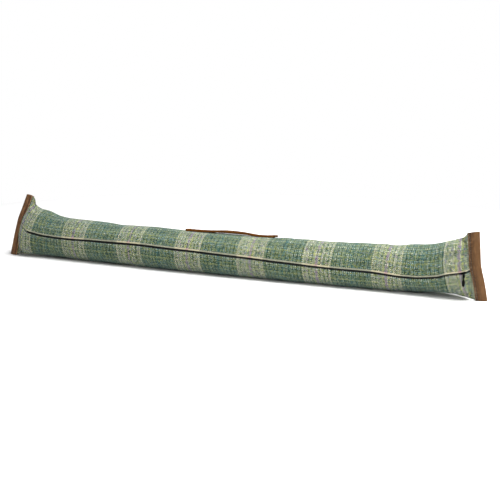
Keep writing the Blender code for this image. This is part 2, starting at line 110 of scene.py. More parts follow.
LEFT_SEAM = tuple(SeamPoint(*row) for row in (
    (0.0, -498.5, -7.2), (34.0, -497.3, 3.8), (69.0, -494.2, 15.1), (96.0, -486.2, 21.9),
    (124.0, -477.9, 28.9),
))
RIGHT_SEAM = tuple(SeamPoint(*row) for row in (
    (0.0, 499.6, -6.4), (20.0, 496.2, -8.7), (39.0, 492.3, -10.8), (54.0, 488.6, -13.0),
    (66.0, 486.4, -14.4), (94.0, 484.3, -16.8), (124.0, 482.0, -19.4),
))
TUBE = tuple(Section(*row) for row in (
    (-470.5, 6.6, 3.0, 118.5, 16.5, 0.84), (-465.0, 6.6, 3.0, 112.6, 23.5, 0.92),
    (-459.0, 7.0, 3.2, 103.8, 27.5, 0.98), (-450.0, 7.6, 3.2, 99.2, 30.0, 1.0),
    (-435.0, 8.6, 3.0, 96.4, 32.0, 1.0), (-420.0, 9.4, 2.5, 93.4, 33.8, 1.0),
    (-411.0, 9.7, 2.1, 90.8, 34.7, 1.0), (-402.0, 9.9, 1.7, 88.3, 35.6, 1.0),
    (-394.0, 10.0, 1.2, 86.5, 36.4, 1.0), (-386.0, 10.0, 0.7, 85.5, 37.2, 1.0),
    (-371.0, 10.0, -0.6, 84.1, 38.4, 1.0), (-350.0, 9.8, -1.7, 83.1, 39.8, 1.0),
    (-330.0, 9.3, -2.0, 82.2, 40.6, 1.0), (-309.0, 8.8, -2.2, 81.4, 41.2, 1.0),
    (-220.0, 7.6, -2.2, 78.8, 42.4, 1.0), (-157.0, 5.0, -2.4, 79.6, 42.2, 1.0),
    (-93.0, 4.0, -2.4, 78.6, 42.8, 1.0), (43.0, 5.0, -2.4, 78.1, 43.0, 1.0),
    (96.0, 5.4, -2.4, 78.4, 42.8, 1.0), (145.0, 6.0, -2.4, 80.1, 42.2, 1.0),
    (204.0, 7.5, -2.2, 79.3, 42.4, 1.0), (242.0, 8.6, -2.2, 79.9, 42.0, 1.0),
    (289.0, 9.0, -2.0, 82.4, 41.2, 1.0), (335.0, 8.6, -1.4, 83.8, 40.8, 1.0),
    (373.0, 6.5, 1.2, 87.8, 40.0, 1.0), (391.0, 4.5, 3.2, 90.4, 39.4, 1.0),
    (410.0, 1.0, 4.6, 94.6, 38.2, 1.0), (433.0, -6.5, 5.2, 103.2, 33.0, 1.0),
    (446.0, -11.5, 4.0, 107.6, 28.0, 1.0), (455.0, -15.2, 2.4, 110.4, 22.0, 0.96),
    (460.0, -17.2, 1.6, 112.8, 16.5, 0.88), (463.6, -18.6, 1.2, 116.0, 9.0, 0.74),
))
# Where the zip runs round the tube: x, and the degrees up from the middle of the front
ZIP = (
    (-475.0, 3.0), (-465.0, 7.4), (-459.0, 10.6), (-454.0, 9.8), (-446.0, 5.6), (-436.0, 4.0),
    (-420.0, 3.8), (-405.0, 4.8), (-390.0, 6.6), (-370.0, 8.0), (-320.0, 11.0), (-280.0, 13.5),
    (-194.0, 16.0), (-132.0, 14.5), (-70.0, 13.5), (-9.0, 11.0), (64.0, 8.0), (153.0, 2.0),
    (221.0, -0.5), (297.0, -3.5), (350.0, -10.0), (384.0, -13.2), (407.0, -12.4), (429.0, -8.4),
    (440.0, -7.0), (450.0, -5.8), (459.0, -4.8), (467.0, -6.6),
)
# The cloth across the zip: how far above the zip over the surface, and how far off it
LIP = (
    (-8.5, 0.0), (-6.4, 0.2), (-4.8, 0.4), (-3.9, 0.3), (-3.2, 0.1), (-2.8, -0.4), (-2.65, -1.2),
    (-2.6, -GROOVE_DEPTH), (1.3, -GROOVE_DEPTH), (1.2, -1.2), (1.05, -0.2), (1.1, 0.6), (1.5, 1.15),
    (2.3, 1.45), (3.4, 1.4), (4.6, 1.05), (5.8, 0.6), (7.0, 0.22), (8.5, 0.0),
)
FOLDS = tuple(Fold(*row) for row in (
    (-468.0, -58.0, -436.0, -78.0, 7.0, 4.5), (-466.0, 62.0, -440.0, 80.0, 6.0, 3.0),
    (-466.0, 28.0, -438.0, 22.0, 5.0, 1.4), (-467.0, -26.0, -444.0, -20.0, 5.0, 1.2),
    (-466.0, 122.0, -440.0, 104.0, 6.0, 3.0), (-467.0, 152.0, -436.0, 158.0, 6.0, 1.6),
    (-467.0, 208.0, -438.0, 200.0, 6.0, 1.6), (-468.0, 236.0, -438.0, 256.0, 7.0, 3.5),
    (461.0, -52.0, 432.0, -74.0, 7.0, 3.6), (461.0, 60.0, 440.0, 78.0, 6.0, 2.4),
    (461.0, -24.0, 440.0, -30.0, 5.0, 1.6), (460.0, 30.0, 436.0, 36.0, 5.0, 1.2),
    (461.0, 118.0, 438.0, 102.0, 6.0, 2.6), (461.0, 150.0, 436.0, 156.0, 6.0, 1.6),
    (461.0, 206.0, 438.0, 200.0, 6.0, 1.6), (461.0, 234.0, 434.0, 252.0, 7.0, 3.2),
    (-392.0, 70.0, -352.0, 108.0, 16.0, 1.6), (-250.0, 55.0, -238.0, 118.0, 14.0, 1.0),
    (176.0, 50.0, 184.0, 112.0, 14.0, 0.9), (318.0, 62.0, 330.0, 118.0, 13.0, 1.1),
    (352.0, -64.0, 392.0, -40.0, 16.0, 1.8), (-86.0, 98.0, -58.0, 97.0, 11.0, 0.9),
    (60.0, 98.0, 84.0, 100.0, 11.0, 0.8),
))
# The carry strap: x, how far the middle of its underside stands off the cloth, its thickness,
# where its middle lies round the tube, in degrees up from the middle of the front, and how far it
# leans back, in degrees
STRAP = (
    (-91.0, 0.5, 3.0, 98.0, 0.0), (-84.0, 0.5, 2.9, 98.0, 0.0), (-76.0, 0.5, 2.7, 97.6, 0.0),
    (-61.0, 0.5, 2.7, 97.2, 0.0), (-49.0, 0.5, 2.9, 97.0, 0.5), (-37.0, 0.6, 3.1, 97.0, 4.5),
    (-25.0, 0.8, 3.3, 97.0, 7.5), (-13.0, 1.2, 3.5, 97.0, 9.5), (0.0, 1.6, 3.6, 97.0, 11.5),
    (14.0, 1.6, 3.6, 97.2, 11.5), (29.0, 1.3, 3.5, 97.6, 9.5), (41.0, 0.9, 3.3, 98.2, 7.5),
    (53.0, 0.6, 3.1, 98.8, 4.0), (65.0, 0.5, 2.8, 99.2, 0.5), (76.0, 0.5, 2.7, 99.8, 0.0),
    (86.0, 0.5, 3.1, 100.3, 0.0), (95.0, 0.5, 3.8, 100.6, 0.0),
)


# ---------------------------------------------------------------- form


def eased(share: Array) -> Array:
    """0 up to share 0 and 1 from share 1, with a soft step between."""
    share = np.clip(share, 0.0, 1.0)
    return share * share * (3 - 2 * share)


def unit(vectors: Array) -> Array:
    """Vectors scaled to a length of 1."""
    return vectors / np.linalg.norm(vectors, axis=-1, keepdims=True)


class SmoothTable:
    """Values that run smoothly between the rows of a table, with no overshoot."""

    def __init__(self, rows: Sequence[Sequence[float]]) -> None:
        """Work out the slope at each row.

        Args:
            rows: The table, whose first column is the place.
        """
        table = np.array(rows, float)
        self.place, self.values = table[:, 0], table[:, 1:]
        self.step = np.diff(self.place)
        slope = np.diff(self.values, axis=0) / self.step[:, None]
        before, after = slope[:-1], slope[1:]
        same_way = before * after > 0
        middle = 2 * before * after / np.where(same_way, before + after, 1.0)
        self.tangent = np.vstack((slope[:1], np.where(same_way, middle, 0.0), slope[-1:]))

    def at(self, where: Array) -> Array:
        """The other columns at some places.

        Args:
            where: The places, in an array of any shape.

        Returns:
            One array of that shape for each column.
        """
        where = np.asarray(where, float)
        row = np.clip(np.searchsorted(self.place, where) - 1, 0, len(self.place) - 2)
        width = self.step[row][..., None]
        share = np.clip((where - self.place[row])[..., None] / width, 0.0, 1.0)
        rest = 1 - share
        before, after = self.values[row], self.values[row + 1]
        ends = before * rest**2 * (1 + 2 * share) + after * share**2 * (3 - 2 * share)
        bend = width * share * rest * (self.tangent[row] * rest - self.tangent[row + 1] * share)
        return np.moveaxis(ends + bend, -1, 0)


class EndSeam:
    """One flat end seam: the upright surface that the cloth and the leather strip share."""

    def __init__(self, rows: Sequence[SeamPoint], side: int) -> None:
        """Lay out the seam.

        Args:
            rows: Its outer edge, by height.
            side: -1 for the left end and 1 for the right end.
        """
        self.side = side
        self.edge = SmoothTable(rows)
        self.inward = np.array((-side * math.cos(STRIP_BEND), -math.sin(STRIP_BEND), 0.0))

    def point(self, inset: Array, height: Array) -> Array:
        """The middle of the seam's thickness, this far in from its outer edge."""
        inset, height = np.broadcast_arrays(np.asarray(inset, float), np.asarray(height, float))
        x, y = self.edge.at(height)
        return np.stack((x, y, height), axis=-1) + inset[..., None] * self.inward

    def front(self, height: Array) -> Array:
        """The direction square to the seam's surface, towards the zip side."""
        height = np.asarray(height, float)
        above, below = np.minimum(height + 4, SEAM_TOP), np.maximum(height - 4, 0)
        along = self.point(0.0, above) - self.point(0.0, below)
        square = unit(np.cross(along, self.inward))
        return np.where(square[..., 1:2] < 0, square, -square)

    def flat_section(self, inset: float, low: float, high: float) -> Section:
        """The tube's section where it lies flat inside the leather strip."""
        x, y, _ = self.point(inset, STRIP_HEIGHT / 2)
        return Section(float(x), float(y), low, high, SEAM_HALF_THICKNESS, 0.0)

    def rake(self, x: Array, height: Array) -> tuple[Array, Array]:
        """How far the seam's slant moves the cloth at this height from its section's middle."""
        distance = (self.point(STRIP_WIDTH, STRIP_HEIGHT / 2)[0] - x) * self.side
        share = 1 - eased(distance / RAKE_LENGTH)
        edge_x, edge_y = self.edge.at(height)
        middle_x, middle_y = self.edge.at(STRIP_HEIGHT / 2)
        return (edge_x - middle_x) * share, (edge_y - middle_y) * share


class TubeForm:
    """The outside of the cloth tube: where the cloth is at any place along it and round it."""

    def __init__(self) -> None:
        """Lay out the seams, the sections and the zip's line."""
        self.left, self.right = EndSeam(LEFT_SEAM, -1), EndSeam(RIGHT_SEAM, 1)
        self.sections = (
            self.left.flat_section(8.0, 0.0, 122.0),
            self.left.flat_section(14.8, 0.0, 121.2),
            self.left.flat_section(21.6, 1.5, 120.2),
            *TUBE,
            self.right.flat_section(21.6, 0.3, 120.6),
            self.right.flat_section(14.8, 0.0, 121.4),
            self.right.flat_section(8.0, 0.0, 122.0),
        )
        self.section_table = SmoothTable(self.sections)
        self.zip_table = SmoothTable(ZIP)

    def zip_angle(self, x: Array) -> Array:
        """Degrees up from the middle of the front at which the zip runs."""
        return self.zip_table.at(x)[0]

    def half_height(self, x: Array) -> Array:
        """Half the height of the tube's section."""
        _, low, high, _, _ = self.section_table.at(x)
        return (high - low) / 2

    def swollen(self, x: Array) -> Array:
        """0 where the seams press the cloth flat and 1 where the filling swells it."""
        depth = self.section_table.at(x)[3]
        return eased((depth - SEAM_HALF_THICKNESS) / SWELL_DEPTH)

    def bare(self, x: Array, angle: Array) -> Array:
        """The cloth without its folds.

        Args:
            x: Places along the tube.
            angle: Degrees round it from the middle of the front, upward.

        Returns:
            Points, with their three coordinates last.
        """
        y, low, high, depth, filled = self.section_table.at(x)
        sine, cosine = np.sin(np.radians(angle)), np.cos(np.radians(angle))
        height = (high + low) / 2 + (high - low) / 2 * sine
        across = sine / np.maximum(filled, 0.01)
        softness = 0.5 + 1.1 * (1 - filled)
        swell = np.where(filled > 0, depth * np.clip(1 - across**2, 0, None) ** softness, 0.0)
        flat = SEAM_HALF_THICKNESS * np.sqrt(np.clip(1 - sine**8, 0, None))
        out = np.copysign(np.hypot(swell, flat * (1 - 0.7 * filled)), cosine)
        out = np.where(filled >= 1, depth * cosine, out)
        left_x, left_y = self.left.rake(x, height)
        right_x, right_y = self.right.rake(x, height)
        rake_x, rake_y = np.where(x < 0, left_x, right_x), np.where(x < 0, left_y, right_y)
        return np.stack((x + rake_x, y + rake_y - out, height), axis=-1)

    def fold_depth(self, x: Array, angle: Array) -> Array:
        """How deep the soft folds are."""
        radius = self.half_height(x)
        total = np.zeros_like(x)
        for fold in FOLDS:
            turn = np.radians((angle - fold.angle_from + 180) % 360 - 180) * radius
            run = fold.x_to - fold.x_from
            rise = math.radians(fold.angle_to - fold.angle_from) * radius
            reach = x - fold.x_from
            share = np.clip((reach * run + turn * rise) / (run**2 + rise**2), 0, 1)
            distance = np.hypot(reach - run * share, turn - rise * share) / fold.width
            total += fold.depth * np.exp(-(distance**2)) * (1 - 0.55 * share)
        return total

    def surface(self, x: Array, angle: Array) -> tuple[Array, Array, Array]:
        """The folded cloth.

        Args:
            x: Places along the tube.
            angle: Degrees round it from the middle of the front, upward.

        Returns:
            Its points, the directions up round it and the directions out of it.
        """
        x, angle = np.broadcast_arrays(np.asarray(x, float), np.asarray(angle, float))
        point = self.bare(x, angle)
        up = self.bare(x, angle + 1) - self.bare(x, angle - 1)
        up[..., 0] = 0.0
        up = unit(up)
        out = np.stack((np.zeros_like(x), -up[..., 2], up[..., 1]), axis=-1)
        return point - out * (self.fold_depth(x, angle) * self.swollen(x))[..., None], up, out

    def zip_share(self, x: Array) -> Array:
        """1 along the zip, fading to 0 where the seams press the cloth flat."""
        return eased((x - ZIP_START) / ZIP_FADE_IN) * eased((ZIP_END - x) / ZIP_FADE_OUT)

    def stations(self, fine: float, coarse: float, end_length: float) -> Array:
        """Places along the tube, closer together at both ends.

        Args:
            fine: The step at the ends.
            coarse: The step between them.
            end_length: How far each end reaches.

        Returns:
            The places, from the left end to the right one.
        """
        first, last = self.sections[0].x, self.sections[-1].x
        count = int(round(end_length / fine))
        left = np.linspace(first, first + end_length, count, endpoint=False)
        right = np.linspace(last - end_length, last, count + 1)[1:]
        between = last - first - 2 * end_length
        middle = np.linspace(first + end_length, last - end_length, int(round(between / coarse)))
        return np.concatenate((left, middle, right))


# ---------------------------------------------------------------- meshes


def rounded(outline: Sequence[Sequence[float]], count: int) -> Array:
    """An outline resampled on a smooth curve through its points.

    Args:
        outline: The points.
        count: How many points come back.

    Returns:
        The points, evenly spread over the steps of the outline.
    """
    points = np.array(outline, float)
    points = np.vstack((2 * points[0] - points[1], points, 2 * points[-1] - points[-2]))
    steps = len(points) - 3
    where = np.linspace(0, steps, count)
    row = np.minimum(where.astype(int), steps - 1)
    t = (where - row)[:, None]
    before, start, end, after = (points[row + shift] for shift in range(4))
    return 0.5 * (
        2 * start
        + (end - before) * t
        + (2 * before - 5 * start + 4 * end - after) * t**2
        + (3 * start - before - 3 * end + after) * t**3
    )


def rings_mesh(name: str, rings: Array, coordinates: Array, layer: str, fans: bool = True) -> Mesh:
    """A closed mesh through rings of points, with its own flat coordinates.

    Args:
        name: The mesh's name.
        rings: Points in millimetres, by ring, by place round it, and by axis.
        coordinates: Flat coordinates in metres, with one more column than the rings.
        layer: The name of their layer.
        fans: Whether each end is one face; else strips close a folded sheet's ends.

    Returns:
        The mesh, smooth and facing out.
    """
    rows, columns, _ = rings.shape
    row, column = np.meshgrid(np.arange(rows - 1), np.arange(columns), indexing="ij")
    corners = ((row, column), (row + 1, column), (row + 1, column + 1), (row, column + 1))
    quads = np.stack([(r * columns + c % columns).ravel() for r, c in corners], axis=-1)
    flat = np.stack([coordinates[r, c].reshape(-1, 2) for r, c in corners], axis=1).reshape(-1, 2)
    faces = quads.tolist()
    end_faces = [range(columns)]
    if not fans:
        last = columns - 1
        end_faces = [(n, n + 1, last - 1 - n, last - n) for n in range(columns // 2 - 1)]
    starts = (0, (rows - 1) * columns)
    caps = [[first + corner for corner in face] for first in starts for face in end_faces]
    spots = coordinates[:, :-1].reshape(-1, 2)
    cap_flat = [spots[corner] for cap in caps for corner in cap]
    mesh = bpy.data.meshes.new(name)
    mesh.from_pydata(((rings.reshape(-1, 3) - MIDDLE) * MM).tolist(), [], faces + caps)
    uv = mesh.uv_layers.new(name=layer)
    uv.data.foreach_set("uv", np.vstack((flat, cap_flat)).astype(np.float32).ravel())
    shape = bmesh.new()
    shape.from_mesh(mesh)
    bmesh.ops.recalc_face_normals(shape, faces=shape.faces)
    if shape.calc_volume(signed=True) < 0:
        bmesh.ops.reverse_faces(shape, faces=shape.faces)
    shape.to_mesh(mesh)
    shape.free()
    mesh.shade_smooth()
    return mesh


def threads_mesh(name: str, paths: Array, outs: Array, radius: float) -> Mesh:
    """Many short stitches with rounded ends in one mesh.

    Args:
        name: The mesh's name.
        paths: Points in millimetres, by stitch, by place along it, and by axis.
        outs: The direction off the surface for each stitch.
        radius: The thread's radius.

    Returns:
        The mesh.
    """
    sides, (stitches, steps, _) = 8, paths.shape
    ahead = unit(np.gradient(paths, axis=1))
    out = unit(outs[:, None, :] - ahead * np.sum(outs[:, None, :] * ahead, axis=-1, keepdims=True))
    across = np.cross(ahead, out)
    turn = np.linspace(0, 2 * math.pi, sides, endpoint=False)
    swell = radius * np.sqrt(np.clip(1 - np.linspace(-0.94, 0.94, steps) ** 6, 0, 1))
    cosine, sine = np.cos(turn)[:, None], np.sin(turn)[:, None]
    ring = cosine * across[:, :, None, :] + sine * out[:, :, None, :]
    points = paths[:, :, None, :] + ring * swell[None, :, None, None]
    faces = []
    for stitch in range(stitches):
        first = stitch * steps * sides
        for step in range(steps - 1):
            for side in range(sides):
                low, beside = first + step * sides, (side + 1) % sides
                faces.append((low + side, low + beside, low + sides + beside, low + sides + side))
        faces.append(tuple(first + side for side in reversed(range(sides))))
        faces.append(tuple(first + (steps - 1) * sides + side for side in range(sides)))
    mesh = bpy.data.meshes.new(name)
    mesh.from_pydata(((points.reshape(-1, 3) - MIDDLE) * MM).tolist(), [], faces)
    mesh.shade_smooth()
    return mesh


def curve_mesh(points: Array, closed: bool, **settings: Union[str, float, bool]) -> Mesh:
    """The mesh of a curve.

    Args:
        points: What the curve runs through, in millimetres.
        closed: Whether its last point joins the first.
        **settings: The curve's own settings, in the order in which they are set.

    Returns:
        The mesh.
    """
    curve = bpy.data.curves.new("curve", "CURVE")
    for name, value in settings.items():
        setattr(curve, name, value)
    spline = curve.splines.new("POLY")
    spline.points.add(len(points) - 1)
    spline.use_cyclic_u = closed
    for slot, point in zip(spline.points, np.asarray(points) * MM):
        slot.co = (*point, 1.0)
    holder = bpy.data.objects.new("holder", curve)
    bpy.context.scene.collection.objects.link(holder)
    bpy.context.view_layer.update()
    solved = holder.evaluated_get(bpy.context.evaluated_depsgraph_get())
    mesh = bpy.data.meshes.new_from_object(solved)
    bpy.data.objects.remove(holder)
    return mesh


def wire_mesh(points: Array, radius: float, closed: bool = False) -> Mesh:
    """A round wire through points, in millimetres."""
    shape = {"dimensions": "3D", "bevel_depth": radius * MM, "bevel_resolution": 4}
    return curve_mesh(points, closed, use_fill_caps=True, **shape)


def plate_mesh(outline: Array, thickness: float, bevel: float) -> Mesh:
    """A flat plate with rounded edges, in millimetres.

    Args:
        outline: Its outline, across and up.
        thickness: Its thickness.
        bevel: How far its edges are rounded.

    Returns:
        The mesh, its thickness along Z.
    """
    shape = {"dimensions": "2D", "fill_mode": "BOTH", "extrude": (thickness / 2 - bevel) * MM}
    rim = {"bevel_depth": bevel * MM, "bevel_resolution": 3, "offset": -bevel * MM}
    level = np.hstack((outline, np.zeros((len(outline), 1))))
    return curve_mesh(level, True, **shape, **rim)


def joined(name: str, parts: Sequence[tuple[Mesh, Matrix]]) -> Mesh:
    """One mesh of several, each moved by its matrix."""
    shape = bmesh.new()
    for mesh, place in parts:
        mesh.transform(place)
        shape.from_mesh(mesh)
    bmesh.ops.remove_doubles(shape, verts=shape.verts, dist=1e-6)
    bmesh.ops.recalc_face_normals(shape, faces=shape.faces)
    whole = bpy.data.meshes.new(name)
    shape.to_mesh(whole)
    shape.free()
    whole.shade_smooth()
    whole.set_sharp_from_angle(angle=math.radians(50))
    return whole


def placed(mesh: Mesh, material: Material, node: str = "") -> Piece:
    """Put a mesh into the scene as a piece of the excluder.

    Args:
        mesh: The mesh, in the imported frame.
        material: Its finish.
        node: The CAD node that it stands for, if any.

    Returns:
        The piece.
    """
    mesh.materials.append(material)
    piece = bpy.data.objects.new(mesh.name, mesh)
    bpy.context.scene.collection.objects.link(piece)
    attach(piece, "root")
    if node:
        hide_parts(node)
    LOG.info("%s: %d faces", piece.name, len(mesh.polygons))
    return piece


# ---------------------------------------------------------------- shader maths


def maths(operation: str) -> Callable[..., "Field"]:
    """A method of a field that puts it through a Math node.

    Args:
        operation: The node's operation.

    Returns:
        The method, which takes the operation's other values.
    """

    def method(self: "Field", *others: "Value") -> "Field":
        """Put this value and the others through the node."""
        sockets = dict(enumerate((self, *others)))
        return self.book.node("ShaderNodeMath", {"operation": operation}, sockets)

    return method


class Field:
    """A number, colour or vector in a material that varies over the surface."""

    def __init__(self, book: "NodeBook", socket: bpy.types.NodeSocket) -> None:
        """Wrap a socket.

        Args:
            book: The material's nodes.
            socket: The output that the value comes from.
        """
        self.book, self.socket = book, socket

    __add__ = maths("ADD")
    __sub__ = maths("SUBTRACT")
    __mul__ = maths("MULTIPLY")
    __truediv__ = maths("DIVIDE")
    __pow__ = maths("POWER")
    __abs__ = maths("ABSOLUTE")
    times_plus = maths("MULTIPLY_ADD")
    floor = maths("FLOOR")
    # What is left above the whole number
    fraction = maths("FRACT")
    # 1 where this is more than the other value, else 0
    over = maths("GREATER_THAN")
    largest = maths("MAXIMUM")
    smallest = maths("MINIMUM")

    def __rsub__(self, other: "Value") -> "Field":
        """The difference from another value."""
        return self.times_plus(-1.0, other)

    def step(self, low: float, high: float) -> "Field":
        """0 up to low and 1 from high, with a soft step between."""
        sockets = {"Value": self, "From Min": low, "From Max": high}
        return self.book.node("ShaderNodeMapRange", {"interpolation_type": "SMOOTHSTEP"}, sockets)

    def band(self, middle: float, half: float, soft: float) -> "Field":
        """1 inside a band and 0 outside it, with soft edges."""
        return 1 - abs(self - middle).step(half - soft, half + soft)


Value = Union[Field, float, Colour]


class NodeBook:
    """The nodes of one material."""

    def __init__(self, name: str) -> None:
        """Start a material.

        Args:
            name: Its name.
        """
        self.material = bpy.data.materials.new(name)
        self.material.use_nodes = True
        self.tree = self.material.node_tree
        self.shader = self.tree.nodes["Principled BSDF"]

    def node(self, kind: str, settings: dict, sockets: dict, output: Union[int, str] = 0) -> Field:
        """Add a node.

        Args:
            kind: The node's type.
            settings: Its own settings, set first; "stops" are a ramp's places and colours.
            sockets: Values or links of its inputs, by name or number.
            output: The output that comes back.

        Returns:
            The output as a field.
        """
        made = self.tree.nodes.new(kind)
        for name, value in settings.items():
            if name == "stops":
                self.set_stops(made.color_ramp, value)
            else:
                setattr(made, name, value)
        for name, value in sockets.items():
            self.feed(made.inputs[name], value)
        return Field(self, made.outputs[output])

    def set_stops(self, ramp: bpy.types.ColorRamp, stops: Sequence[tuple[float, Colour]]) -> None:
        """Give a colour ramp its stops."""
        while len(ramp.elements) < len(stops):
            ramp.elements.new(0.5)
        for element, (place, colour) in zip(ramp.elements, stops):
            element.position = place
            element.color = (*colour, 1.0)

    def feed(self, socket: bpy.types.NodeSocket, value: Value) -> None:
        """Link a field to an input, or set its value."""
        if isinstance(value, Field):
            self.tree.links.new(value.socket, socket)
        elif isinstance(value, tuple) and len(value) == 3 and socket.type == "RGBA":
            socket.default_value = (*value, 1.0)
        else:
            socket.default_value = value

    def mix(self, share: Value, low: Value, high: Value) -> Field:
        """A colour between two, by a share."""
        settings = {"data_type": "RGBA", "clamp_factor": True}
        return self.node("ShaderNodeMix", settings, {0: share, 6: low, 7: high}, 2)

    def tint(self, colour: Value, strength: Value) -> Field:
        """A colour made darker or brighter."""
        grey = self.node("ShaderNodeCombineColor", {}, {0: strength, 1: strength, 2: strength})
        settings = {"data_type": "RGBA", "blend_type": "MULTIPLY", "clamp_factor": True}
        return self.node("ShaderNodeMix", settings, {0: 1.0, 6: colour, 7: grey}, 2)

    def ramp(self, share: Field, stops: Sequence[tuple[float, Colour]]) -> Field:
        """A colour from a ramp, which keeps each stop's colour up to the next stop."""
        made = self.node("ShaderNodeValToRGB", {"stops": stops}, {0: share})
        made.socket.node.color_ramp.interpolation = "CONSTANT"
        return made

    def vector(self, x: Value, y: Value, z: Value) -> Field:
        """A vector of three numbers."""
        return self.node("ShaderNodeCombineXYZ", {}, {0: x, 1: y, 2: z})

    def flat(self, layer: str) -> tuple[Field, Field]:
        """The two flat coordinates of a piece, in millimetres."""
        spot = self.node("ShaderNodeUVMap", {"uv_map": layer}, {})
        along = self.node("ShaderNodeSeparateXYZ", {}, {0: spot}, 0)
        across = self.node("ShaderNodeSeparateXYZ", {}, {0: spot}, 1)
        return along * 1000.0, across * 1000.0

    def place(self) -> Field:
        """Where a point of the piece is, in metres."""
        return self.node("ShaderNodeTexCoord", {}, {}, "Object")

    def noise(
        self, where: Field, scale: float, detail: float = 2.0, roughness: float = 0.5
    ) -> Field:
        """Soft noise from 0 to 1."""
        sockets = {"Vector": where, "Scale": scale, "Detail": detail, "Roughness": roughness}
        return self.node("ShaderNodeTexNoise", {}, sockets)

    def patches(
        self, x: Value, y: Value, seed: float = 0.0, detail: float = 2.0, roughness: float = 0.5
    ) -> Field:
        """Soft noise from 0 to 1 over two numbers."""
        return self.noise(self.vector(x, y, seed), 1.0, detail, roughness)

    def random(self, x: Value, y: Value, z: Value) -> Field:
        """A number from 0 to 1 that differs for each three numbers."""
        settings = {"noise_dimensions": "3D"}
        return self.node("ShaderNodeTexWhiteNoise", settings, {"Vector": self.vector(x, y, z)})

    def cells(self, where: Field, scale: float, feature: str) -> Field:
        """Distances in a pattern of cells."""
        sockets = {"Vector": where, "Scale": scale}
        return self.node("ShaderNodeTexVoronoi", {"feature": feature}, sockets)

    def bump(self, height: Field, depth: float, strength: float) -> None:
        """Feed a relief to the shader, with its depth in millimetres."""
        sockets = {"Height": height, "Distance": depth * MM, "Strength": strength}
        self.feed(self.shader.inputs["Normal"], self.node("ShaderNodeBump", {}, sockets))

    def set(self, **values: Value) -> None:
        """Set or link inputs of the shader, their names with underscores for spaces."""
        for name, value in values.items():
            title = name.replace("_", " ").title().replace("Ior", "IOR")
            self.feed(self.shader.inputs[title], value)


# ---------------------------------------------------------------- finishes


